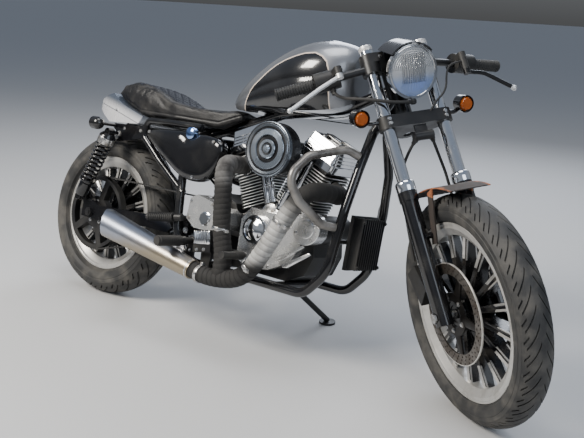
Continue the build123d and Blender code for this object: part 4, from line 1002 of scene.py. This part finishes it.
def band_clamp(spot, way, radius, turn=0):
    """A steel band drawn tight by a screw across its two ears."""
    band = turned([
        (radius, -6), (radius + 1.2, -6), (radius + 1.6, -5), (radius + 1.6, 5), (radius + 1.2, 6),
        (radius, 6), (radius, -6),
    ], 48)
    ear = slab(
        [(-5, -6), (5, -6), (5, 6), (-5, 6)], radius, radius + 9, 1, at=Matrix.Rotation(math.pi / 2, 4, "Y"),
    )
    screw = turned(
        [(0, 8), (3.4, 8), (3.4, -8), (0, -8)], 8, at=Matrix.Translation((radius + 5.5, 0, 0)) @ UPRIGHT,
    )
    clamp = joined([band, ear, screw])
    clamp.matrix_world = facing(spot, way, turn)
    return clamp


settle(
    joined([
        band_clamp((936, -205, 456), (0.42, 0, 0.9), 29, 200),
        band_clamp((846, -205, 296), (0.5, 0, 0.85), 29, 200),
        band_clamp((652, -207, 233), (-1, 0, 0.1), 29.6, 90),
        band_clamp((706, -206, 392), (0.1, 0, 1), 29, 250),
    ]), "exhaust_clamps", bolt_steel,
)

# Muffler: a tapered can of brushed steel, welded along its back and cut off at a slant.
# It is tinted by height: blue towards the top, a painted reflection of the sky, and straw
# below.
MUFFLER_START = Vector((620, -208, 239))
MUFFLER_END = Vector((196, -222, 316))
muffler_place = facing(MUFFLER_START, MUFFLER_END - MUFFLER_START)
tinted_steel = Finish("brushed_steel_painted_sky", "brushed_steel", Metallic=1.0)
across, around, along = tinted_steel.axes(machine @ muffler_place)
grain = tinted_steel.noise(1.0, 4, spot=tinted_steel.place(machine @ muffler_place, (0.9, 0.9, 0.03)))
above = tinted_steel.axes(machine)[2]
tint_wobble = tinted_steel.noise(7, 3)
# Blue towards the top is a painted reflection of the sky, mixed in by height.
painted_sky_share = (above - 282 + along * 0.03 + (tint_wobble - 0.5) * 60).between(-30, 34)
steel = tinted_steel.mix(grain, (0.34, 0.335, 0.33), (0.55, 0.545, 0.53))
low = tinted_steel.mix(0.75, steel, (0.34, 0.27, 0.16))
high = tinted_steel.mix(0.55, steel, (0.30, 0.36, 0.50))
tinted_steel.set("Base Color", tinted_steel.mix(painted_sky_share, low, high))
tinted_steel.set("Roughness", 0.22 + grain * 0.2)
tinted_steel.bump(grain, 0.06, 0.0006)
finish_cad(tinted_steel, "muffler")
settle(
    joined([
        turned([(32.6, 6), (34.4, 7), (34.9, 9), (34.4, 11), (33.2, 12)], 48, at=muffler_place),
        slab([(-22, -16), (22, -16), (16, 44), (-16, 44)], -2, 2, 1, at=facing((520, -176, 268))),
    ]), "muffler_seams", bolt_steel,
)

# Fuel tank: pressed steel, silver over black. The black side panels lie under a curved
# line with a cream pinstripe along it, and all of it is under clear lacquer.
STRIPE = (
    (596, 700), (603, 780), (612, 806), (631, 850), (650, 871), (673, 889), (703, 915), (737, 939),
    (775, 959), (810, 973), (846, 985), (884, 990), (912, 981), (931, 966), (941, 945), (947, 915),
    (951, 880), (954, 800), (956, 700),
)
STRIPE_START, STRIPE_LONG = 596, 360
STRIPE_LOW, STRIPE_TALL = 700, 300
tank_paint = Finish("tank_lacquer", "painted_silver", Coat_Weight=0.9, Coat_Roughness=0.04)
ahead, left, above = tank_paint.axes(machine)
stripe_stops = tuple(
    ((x - STRIPE_START) / STRIPE_LONG, ((z - STRIPE_LOW) / STRIPE_TALL,) * 3) for x, z in STRIPE
)


def stripe_height(shift):
    share = (ahead + shift - STRIPE_START) / STRIPE_LONG
    return tank_paint.ramp(share, *stripe_stops) * STRIPE_TALL + STRIPE_LOW


slope = (stripe_height(1.5) - stripe_height(-1.5)) / 3
away = (above - stripe_height(0)) / (slope * slope + 1) ** 0.5
striped = (ahead > 597) * (ahead < 955)
panel = (away < 0) * striped
stripe = (abs(away + 2.0) < 2.2) * striped
flake = tank_paint.noise(1800, 1)
haze = tank_paint.noise(6, 4).between(0.4, 0.75)
silver = tank_paint.mix(flake, (0.20, 0.205, 0.22), (0.30, 0.31, 0.33))
black = tank_paint.mix(haze, (0.004, 0.004, 0.005), (0.012, 0.012, 0.013))
tank_paint.set("Base Color", tank_paint.mix(stripe, tank_paint.mix(panel, silver, black), (0.62, 0.52, 0.44)))
tank_paint.set("Metallic", (1 - panel) * 0.8)
tank_paint.set("Roughness", 0.32 - panel * 0.2 + haze * 0.1)
finish_cad(tank_paint, "fuel_tank")
FILLER = Matrix.Translation((884, 0, 0))
settle(turned([
    (37, 1021), (40, 1022), (41, 1024), (40, 1026), (36.5, 1027), (36.5, 1021), (37, 1021),
], 56, at=FILLER), "tank_filler_ring", chrome)
settle(
    on_both_sides(slab([
        (560, -50), (700, -102), (800, -114), (900, -114), (975, -80), (975, -76), (900, -108), (800, -108),
        (700, -96), (560, -44),
    ], 796, 800, 1)), "tank_seam_flange", gloss_black,
)

# Caps: chromed steel with knurled edges. One screws on the fuel tank, and a plain chrome
# one lies in a recess of each side tank, coloured blue for a painted reflection of the sky.
cap = turned([
    (0, 1045.5), (20, 1045), (30, 1043), (34, 1040), (36, 1036), (36, 1023), (33, 1021), (0, 1021),
], 72)
pressed(
    cap, lambda middle: 1024 < middle.z < 1036 and middle.xy.length > 34 and around_z(middle) % 15 < 5, -1.6,
)
cap.matrix_world = FILLER
settle(cap, "fuel_cap", chrome, replaced=("filler_caps",))
# Chrome coloured blue: a painted reflection of the sky.
sky_blue_cap_chrome = dusted(
    "chrome_painted_sky_blue", "chrome", (0.22, 0.36, 0.72), (0.34, 0.44, 0.62), 0.1, 0.22, 0.4, 0.7, 40, Metallic=1.0,
)
settle(
    on_both_sides(turned([
        (0, 6.5), (8, 6), (17, 4), (20, 2), (21, -1), (21, -18), (16, -20), (0, -20),
    ], 48, at=facing((458, -153, 676)))), "side_tank_caps", sky_blue_cap_chrome,
)

# Side tanks: pressed steel tanks below the seat, gloss black, with swollen faces and a
# dished recess round each cap.
TANK_EDGE = (
    (240, 664), (330, 678), (420, 680), (500, 680), (588, 676), (614, 650), (606, 606), (590, 560),
    (546, 514), (452, 513), (392, 545), (330, 582), (242, 640),
)
tank_side = slab(TANK_EDGE, 92, 140)
pick(tank_side, lambda middle: middle.z > 139, True)
for inward, outward in ((3, 8), (5, 6), (9, 4), (16, 2)):
    bpy.ops.mesh.inset(thickness=inward, depth=outward)
bpy.ops.mesh.poke()
bpy.ops.object.mode_set(mode="OBJECT")
change(tank_side, "SUBSURF", levels=2, render_levels=2)
for vertex in tank_side.data.vertices:
    reach = math.hypot(vertex.co.x - 458, (vertex.co.y - 684) * 0.85)
    if vertex.co.z > 130 and reach < 52:
        vertex.co.z -= 20 * (math.cos(math.pi * reach / 52) + 1) / 2
tank_side.matrix_world = UPRIGHT
settle(on_both_sides(tank_side), "side_tank_shells", gloss_black, replaced=("side_tanks",), angle=60)
bolts("side_tank_bolts", [(572, -160, 660), (268, -158, 656), (500, -158, 530)], 5, 4, both=True)

# Seat: a single moulded foam seat under black leather, raised behind the rider. Its top
# is quilted in diamonds inside a plain side band, and a welt runs round the foot of the
# band.
leather = Finish("black_leather", "leather", IOR=1.36)
ahead, left, above = leather.axes(machine)
grain = leather.node(
    "TexVoronoi", {"feature": "DISTANCE_TO_EDGE"}, {"Vector": leather.place(), "Scale": 520},
).between(0.0, 0.12)
scuffs = leather.noise(12, 5).between(0.42, 0.74)
QUILT = 41.0
first = ((ahead + left * 1.15) / QUILT).maths("PINGPONG", (ahead + left * 1.15) / QUILT, 0.5)
second = ((ahead - left * 1.15) / QUILT).maths("PINGPONG", (ahead - left * 1.15 + 4000) / QUILT, 0.5)
seam = first.least(second)
quilted = (ahead > 96) * (ahead < 430) * (abs(left) < 78)
thread = (seam < 0.022) * quilted * ((ahead * 1.1).sine() > -0.35)
hide = leather.mix(scuffs, (0.010, 0.010, 0.011), (0.040, 0.038, 0.036))
hide = leather.mix(quilted * 0.85, hide, (0.004, 0.006, 0.013))
leather.set("Base Color", leather.mix(thread, hide, (0.05, 0.052, 0.06)))
leather.set("Roughness", 0.36 + scuffs * 0.22 + grain * 0.04 + quilted * 0.26)
leather.bump(grain * 0.5 + leather.noise(240, 3) * 0.5, 0.25, 0.0007)

seat = frame["nodes"]["seat"].copy()
seat.data = frame["nodes"]["seat"].data.copy()
seat.animation_data_clear()
bpy.context.collection.objects.link(seat)
seat.hide_render = seat.hide_viewport = False
for key in list(seat.keys()):
    del seat[key]
rooted(seat)
seat.data.transform(machine.inverted())
cleaned(0.05)
change(seat, "REMESH", mode="VOXEL", voxel_size=5.0)
change(seat, "SMOOTH", factor=0.6, iterations=7)
seat.data.transform(Matrix.Scale(0.001, 4))
before = [vertex.co.copy() for vertex in seat.data.vertices]
cloth = seat.modifiers.new("stuffing", "CLOTH")
cloth.settings.use_pressure = True
cloth.settings.uniform_pressure_force = 4
cloth.settings.quality = 5
cloth.settings.mass = 0.2
cloth.settings.tension_stiffness = cloth.settings.compression_stiffness = 25
cloth.settings.effector_weights.gravity = 0
cloth.collision_settings.use_collision = False
for step in range(1, 21):
    bpy.context.scene.frame_set(step)
bpy.context.view_layer.objects.active = seat
bpy.ops.object.modifier_apply(modifier="stuffing")
bpy.context.scene.frame_set(1)
for vertex, rest in zip(seat.data.vertices, before):
    swell = vertex.co - rest
    if swell.length > 0.005:
        vertex.co = rest + swell.normalized() * 0.005
seat.data.transform(Matrix.Scale(1000, 4))
change(seat, "SUBSURF", levels=1, render_levels=1)


def fold(value):
    """How far a value is from the nearest whole number, from 0 to a half."""
    return abs(value - math.floor(value + 0.5))


for vertex, normal in [(vertex, vertex.normal.copy()) for vertex in seat.data.vertices]:
    x, y, z = vertex.co
    if normal.z > 0.2:
        near = min(fold((x + y * 1.15) / QUILT), fold((x - y * 1.15) / QUILT))
        edge = min(1, max(0, (80 - abs(y)) / 8))
        edge *= min(1, max(0, (x - 90) / 12)) * min(1, max(0, (436 - x) / 12))
        vertex.co -= normal * 4.2 * edge * (1 - min(1, near / 0.2)) ** 2
        vertex.co -= normal * 2.6 * max(0, 1 - abs(abs(y) - 84) / 5) * (70 < x < 470)
    low = 713 + max(0, 150 - x) * 0.3 + max(0, x - 500) * 0.46
    vertex.co -= normal * 2.4 * max(0, 1 - abs(z - low - 16) / 4) * (normal.z < 0.5)
settle(seat, "seat_cushion", leather, replaced=("seat",), angle=80)

# Tail cowl: a painted shell over the end of the seat, pale silver on its sides below a
# pressed crease and blue-grey above it, fixed by two screws a side.
cowl_paint = Finish("cowl_lacquer", "painted_silver", Coat_Weight=0.7, Coat_Roughness=0.06)
ahead, left, above = cowl_paint.axes(machine)
haze = cowl_paint.noise(9, 4).between(0.4, 0.75)
crease = above + (ahead + 152) * 0.1 + (ahead + 152) ** 2 * 0.0003 - 738
upper = crease.between(4, 44)
side_paint = cowl_paint.mix(haze, (0.74, 0.74, 0.76), (0.60, 0.60, 0.62))
# A thin dark line along the crease: painted shade in the crease.
side_paint = cowl_paint.mix(abs(crease) < 1.6, side_paint, (0.25, 0.26, 0.28))
cowl_paint.set("Base Color", cowl_paint.mix(upper, side_paint, (0.10, 0.125, 0.17)))
cowl_paint.set("Metallic", 0.25 + upper * 0.2)
cowl_paint.set("Roughness", 0.24 + haze * 0.16)
cowl_paint.bump(crease.between(-3, 3), 0.5, 0.002)
finish_cad(cowl_paint, "tail_cowl")
bolts("cowl_screws", [(24, -104, 716), (140, -112, 700)], 4, 3, both=True, way=(0, -1, 0.1))

# Side strip: a ribbed strip of grey plastic down the right side of the tail, fixed to the
# frame's plate behind it.
strip_plastic = Finish(
    "grey_ribbed_plastic", "cast_aluminium", Metallic=0.3, Coat_Weight=0.6, Coat_Roughness=0.1,
)
ahead, left, above = strip_plastic.axes(machine)
strip_ribs = ((above - ahead * 0.3) * 0.9).sine()
# Dark between the ribs and pale on them: painted shade in the grooves.
strip_plastic.set("Base Color", strip_plastic.mix(
    strip_ribs.between(-0.6, 0.6), (0.05, 0.05, 0.052), (0.34, 0.345, 0.36),
))
strip_plastic.set("Roughness", 0.24 + strip_ribs * 0.1)
strip_plastic.bump(strip_ribs, 0.6, 0.0015)
finish_cad(strip_plastic, "plate_strip")

# Turn signals: black round housings with amber lenses, moulded in rings, pressed into
# their open faces.
amber = Finish(
    "amber_lens", "amber_glass", Metallic=0.0, Transmission_Weight=0.2, Roughness=0.1, Coat_Weight=0.8,
)
ahead = amber.axes(turned_machine)[0]
amber.set("Base Color", amber.mix(amber.noise(60, 2), (0.30, 0.055, 0.004), (0.56, 0.13, 0.012)))
amber.bump((ahead * 1.6).sine(), 0.5, 0.001)
finish_cad(gloss_black, "rear_signals", "front_signals")
finish_cad(amber, "signal_lenses")
settle(copies(
    turned([(23.2, 22), (24.6, 24), (26.2, 22.6), (26.4, 12), (24.4, 11), (23.2, 22)], 48),
    [facing((1221, side, 860), (1, 0, 0)) for side in (-172, 172)],
), "signal_bezels", gloss_black, where=turned_machine, body="steering")

# Rider's controls at the foot: black steel pegs in ribbed rubber sleeves, a brake pedal,
# and a cast grey brake cylinder with a ribbed chrome cover.
finish_cad(satin_black, "foot_pegs", "foot_brake")
sleeves = []
for start, end, radius in (
    ((541, -206, 319.3), (532, -306, 316), 15.6), ((468, -176, 386.5), (364, -189.3, 368.6), 13.6),
):
    way = Vector(end) - Vector(start)
    profile = [(radius - 1.4, 0)]
    for rib in range(int(way.length / 8)):
        base = rib * 8
        profile += [
            (radius - 0.4, base + 1), (radius + 2.2, base + 2), (radius + 2.2, base + 5.6),
            (radius - 0.4, base + 6.6),
        ]
    profile += [(radius - 0.4, way.length), (0, way.length + 1)]
    sleeves.append(turned(profile, 28, at=facing(start, way)))
rubber = dusted(
    "black_rubber", "rubber", (0.012, 0.012, 0.012), (0.036, 0.034, 0.032), 0.62, 0.8, 0.35, 0.7,
    Metallic=0.0, IOR=1.45,
)
rubber.bump(rubber.noise(600, 3), 0.2, 0.0006)
settle(on_both_sides(joined(sleeves)), "foot_peg_sleeves", rubber)
cast_grey = dusted(
    "cast_alloy", "cast_aluminium", (0.46, 0.46, 0.46), (0.20, 0.195, 0.185), 0.34, 0.6, 0.35, 0.7, 20,
    Metallic=0.9,
)
cast_grey.bump(cast_grey.noise(520, 2), 0.15, 0.0005)
ribs = [slab([(574, 360), (643, 373), (652, 330), (582, 318)], 181, 185, 2)]
for step in range(6):
    x, low, high = step * 10, step * 1.6, step * 1.8
    ribs.append(slab([
        (586 + x, 322 + low), (590 + x, 322.6 + low), (583 + x, 361 + high), (579 + x, 360.4 + high),
    ], 183, 189, 1))
cover = joined(ribs)
cover.matrix_world = UPRIGHT
settle(cover, "rear_brake_cylinder_cover", chrome)
bolts("foot_control_bolts", [(628, -182, 308), (598, -182, 302), (548, -159, 290), (644, -171, 322)],
      5, 5)
pedal_pad = rod([(800, -196, 326), (800, -236, 326)], 12.6)
ridges = copies(
    turned([(12.4, -1.8), (14.2, -1.2), (14.2, 1.2), (12.4, 1.8), (12.4, -1.8)], 24),
    [facing((800, -200 - step * 6.4, 326)) for step in range(6)],
)
settle(joined([pedal_pad, ridges]), "pedal_rubber", rubber)

# Engine guard: one bent steel tube across the front of the frame, held by two clamps.
# Its warm grey colour is a painted sheen of light on the tube's dark paint.
guard_sheen_finish = dusted(
    "warm_grey_painted_sheen", "brushed_steel", (0.15, 0.14, 0.13), (0.30, 0.285, 0.265), 0.26, 0.5, 0.35, 0.7, 16,
    Metallic=0.65,
)
finish_cad(guard_sheen_finish, "engine_guard")

# Regulator: a cast aluminium box painted black, its face cut into upright fins. It is
# bolted to the downtubes, behind the front wheel.
finish_cad(satin_black, "regulator")
bolts("regulator_bolts", [(1139, side * 64, height) for side in (-1, 1) for height in (360, 500)], 5, 4,
      finish=satin_black, way=(1, 0, 0))

# Wiring and hoses on the right of the engine: a rubber breather hose at the gearbox, and
# two plug leads that push on to the plugs.
settle(
    joined([
        rod([(704, -92, 372), (660, -140, 380), (628, -140, 420), (600, -100, 452)], 8),
        rod([(868, -70, 560), (880, -116, 600), (856, -120, 660), (830, -70, 700)], 4),
        rod([(720, -70, 574), (700, -118, 612), (722, -124, 668), (760, -70, 700)], 4),
    ]), "engine_hoses", rubber,
)

# Fork: chromed steel tubes in black lower legs, each with a bright dust cover, and
# knurled alloy caps on top. Cast black clamps hold them to the steering stem.
ON_FORK = {"where": fork, "body": "steering"}
FORK_HALF = 90.5
FORK_SIDES = [Matrix.Translation((0, side, 0)) for side in (-FORK_HALF, FORK_HALF)]
finish_cad(chrome, "fork_tubes")
finish_cad(gloss_black, "fork_lowers")
finish_cad(satin_black, "fork_clamps", "clip_on_bars")
settle(copies(turned([
    (21, 398), (25, 397), (28.4, 393), (29, 388), (29, 374), (28.6, 372), (28.6, 366), (25.6, 366),
    (25.6, 372),
], 48), FORK_SIDES), "fork_dust_covers", chrome, **ON_FORK)
cap = turned([
    (0, 831), (7, 831), (8, 829), (14, 829), (16, 828), (20.6, 826), (21, 824), (21, 812), (20, 810.5),
    (17.5, 810.5),
], 60)
pressed(
    cap, lambda middle: 812 < middle.z < 824 and middle.xy.length > 19 and around_z(middle) % 12 < 5.9, -1.3,
)
caps = copies(cap, FORK_SIDES)
cap_alloy = dusted(
    "worn_knurled_alloy", "cast_aluminium", (0.80, 0.80, 0.80), (0.52, 0.51, 0.49), 0.3, 0.5, 0.4, 0.7, 60,
    Metallic=0.7,
)
settle(caps, "fork_caps", cap_alloy, **ON_FORK)
bolts("clamp_bolts", [
    *[(26, side * FORK_HALF, height) for side in (-1, 1) for height in (571, 585)],
    ((0, 0, 797), (0, 0, 1)), (24, -64, 782), (24, 64, 782),
], 6, 5, **ON_FORK, way=(1, 0, 0))
settle(turned([
    (0, 812), (10, 812), (16, 808), (17, 798), (17, 795), (0, 795),
], 6), "stem_nut", chrome, **ON_FORK)
# Headlamp: a black bucket with a double chrome ring. Behind the fluted glass lie a bright
# shallow reflector, coloured blue in its lower half for a painted reflection of the sky, and
# the cap over the bulb. The glass is tinted blue low down, the same painted reflection.
LAMP_CENTRE = (70.8, 0, 701.7)
lamp_place = fork @ Matrix.Translation(LAMP_CENTRE)
lamp_place = lamp_place @ Matrix.Rotation(RAKE, 4, "Y") @ Matrix.Rotation(math.pi / 2, 4, "Y")
ON_LAMP = {"where": lamp_place, "body": "steering"}
finish_cad(gloss_black, "lamp_shell")
finish_cad(chrome, "lamp_rim")
settle(turned([
    (70, 1), (70, 3.4), (71.4, 5), (73, 5), (74.4, 3.4), (74.4, 1),
], 72), "lamp_inner_ring", chrome, **ON_LAMP)
reflector_metal = Finish("lamp_reflector", "chrome", Metallic=0.8, Roughness=0.25)
down = reflector_metal.axes(lamp_place)[0]
# Pale above and blue below: a painted reflection of the sky in the bowl.
reflector_metal.set("Base Color", reflector_metal.mix(
    down.between(-4, 34), (0.66, 0.67, 0.69), (0.26, 0.38, 0.66),
))
settle(turned([
    (69, 1), (66, -3), (56, -6.4), (42, -9), (24, -10.8), (0, -11.2), (0, -11.8), (69.4, -11.8), (69.4, 1),
    (69, 1),
], 72), "lamp_reflector_bowl", reflector_metal, **ON_LAMP)
settle(turned([
    (0, 1), (10, 0), (13, -2), (13, -5), (4, -6), (4, -11), (0, -11),
], 32), "lamp_bulb_cap", cast_grey, **ON_LAMP)
glass = Finish(
    "clear_lamp_glass", "clear_glass", Metallic=0.0, Roughness=0.12, Transmission_Weight=0.6, IOR=1.45,
    Coat_Weight=0.3,
)
down, left, ahead = glass.axes(lamp_place)
fluted = (abs(left) < 38) * (abs(down + 10) < 42)
prisms = ((down ** 2 + left ** 2) ** 0.5 * 1.1).sine() * (down < -8)
glass.bump((left * 0.9).sine() * fluted * 1.4 + prisms * 0.5, 1.0, 0.0022)
# Blue in the lower half of the glass: a painted reflection of the sky.
glass.set("Base Color", glass.mix(down.between(0, 36), (0.72, 0.74, 0.76), (0.42, 0.55, 0.84)))
outer_face = [(6 * ring, 13.5 - 11 * (ring / 12) ** 2) for ring in range(12, -1, -1)]
inner_face = [(6 * ring, 10.8 - 8.6 * (ring / 12) ** 2) for ring in range(13)]
lens = turned([*outer_face, *inner_face, outer_face[0]], 96)
for vertex in lens.data.vertices:
    x, y, z = vertex.co
    if vertex.co.xy.length < 62 and z < 10.9 and abs(y) < 36 and -52 < -x < 34:
        vertex.co.z -= 2.2 * (0.5 + 0.5 * math.cos(y * 2 * math.pi / 9))
settle(lens, "lamp_glass", glass, **ON_LAMP, replaced=("lamp_lens",), angle=60)

# Visor: a sheet-metal peak over the lamp, silver above and near black below, riveted to
# the ring. Its near black underside is painted shade.
visor_paint = Finish("visor_lacquer", "painted_silver", Coat_Weight=0.6, Coat_Roughness=0.06)
down, left, ahead = visor_paint.axes(lamp_place)
outside = ((down ** 2 + left ** 2) ** 0.5 - 88.6 + ahead * 0.0625).between(-1.2, -0.6)
worn = visor_paint.noise(40, 4).between(0.4, 0.7)
silver = visor_paint.mix(worn, (0.36, 0.38, 0.43), (0.24, 0.26, 0.31))
# Near black on the inner face: painted shade under the peak.
visor_paint.set("Base Color", visor_paint.mix(outside, (0.012, 0.012, 0.014), silver))
visor_paint.set("Metallic", outside * 0.6)
visor_paint.set("Roughness", 0.24 + worn * 0.14)
finish_cad(visor_paint, "lamp_visor")

# Front fender: a short blade of sheet steel over the wheel, dark on top and rusted orange
# along its edges and in patches, bolted through its tabs to the fork legs.
rust = Finish("rusted_steel", "rusty_steel", Metallic=0.0)
ahead, left, above = rust.axes(turned_machine)
patches = rust.noise(26, 6, 0.66)
edges = (abs(left) + (patches - 0.5) * 40).between(50, 62) * (above > 649)
scale = rust.ramp(
    patches, (0.30, (0.028, 0.022, 0.020)), (0.46, (0.22, 0.075, 0.03)), (0.62, (0.46, 0.17, 0.07)),
)
rust.set("Base Color", rust.mix(edges, rust.mix(patches, (0.012, 0.011, 0.011), (0.05, 0.036, 0.028)), scale))
rust.set("Roughness", 0.62 + patches * 0.3)
rust.bump(rust.noise(160, 5), 0.4, 0.0009)
finish_cad(rust, "front_fender")

# Handlebar: clip-on stubs with ribbed rubber grips, cast switch housings and levers. The
# right lever is bare alloy, and the left one is black with a bare ball at its end.
finish_cad(satin_black, "hand_controls")
ribbed = dusted(
    "ribbed_rubber", "rubber", (0.012, 0.012, 0.012), (0.034, 0.033, 0.031), 0.5, 0.74, 0.35, 0.7,
    Metallic=0.0,
)
finish_cad(ribbed, "grips")
grips = []
for side in (-1, 1):
    start, end = Vector((-43, side * 270, 746.7)), Vector((-72.4, side * 374, 743.1))
    way = end - start
    profile = [(16.4, 1)]
    for rib in range(13):
        base = rib * 8 + 2
        profile += [(16.6, base), (18.2, base + 1.2), (18.2, base + 5.2), (16.6, base + 6.4)]
    profile += [(19, 106), (19, 109), (16, 110)]
    grips.append(turned(profile, 28, at=facing(start, way)))
settle(joined(grips), "grip_ribs", ribbed, **ON_FORK)
lever_alloy = Finish("lever_alloy", "brushed_steel", Metallic=0.9)
ahead, left, above = lever_alloy.axes(fork)
ball = ((ahead + 5) ** 2 + (left - 366) ** 2 + (above - 636) ** 2) ** 0.5 < 14
lever_left = (left > 0) * (1 - ball)
lever_alloy.set("Base Color", lever_alloy.mix(lever_left, (0.72, 0.72, 0.71), (0.03, 0.03, 0.031)))
lever_alloy.set("Roughness", 0.34 + lever_alloy.noise(30, 3) * 0.1)
finish_cad(lever_alloy, "levers")
settle(slab([
    (-52, -214), (4, -206), (4, -180), (-52, -188),
], 764, 770, 2), "master_cylinder_lid", satin_black, **ON_FORK)

# Brake lines and clutch cable: black rubber hoses run from the brake junction under the
# lower clamp to the calipers, and from the master cylinder to the stem. Each hangs free
# between its two fittings.
fittings = [
    rod([(24, -30, 520), (24, 30, 520)], 14),
    slab([(17, -20), (23, -20), (23, 20), (17, 20)], 510, 556, 1),
]
for spot, way in (
    ((22, -26, 512), (-52, -34, -42)), ((22, 26, 512), (-52, 34, -42)), ((44, -10, 620), (0, -50, 2)),
    ((-26, -215, 718.2), (0, 0, -1)),
):
    fittings.append(turned([
        (0, -6), (8.4, -6), (8.8, -5), (8.8, 7), (8.2, 8), (6.6, 8), (6.6, 16), (5.4, 17), (0, 17),
    ], 6, at=facing(spot, way)))
settle(joined(fittings), "brake_junction", satin_black, **ON_FORK, replaced=("brake_lines",))


def hose(name, points, diameter):
    """A hose as one open curve along its control points, given in the fork's own place."""
    piece = line_along(name, [fork @ Vector(spot) for spot in points], diameter / 2, 3, 16)
    piece.data.materials.append(rubber.material)
    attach(piece, "steering")


for side, name in ((-1, "right_brake_hose"), (1, "left_brake_hose")):
    hose(name, [
        (22, side * 26, 512), (-30, side * 60, 470), (-56, side * 82, 380), (-92, side * 84, 180),
    ], 0.009)
hose("upper_brake_hose", [
    (-26, -215, 718.2), (-26, -215, 690), (30, -134, 650), (44, -60, 622), (44, -10, 620),
], 0.01)
hose("clutch_cable", [
    (24, 196, 735), (34, 150, 728), (48, 120, 694), (46, 104, 640), (36, 62, 612), (26, 44, 590),
], 0.006)
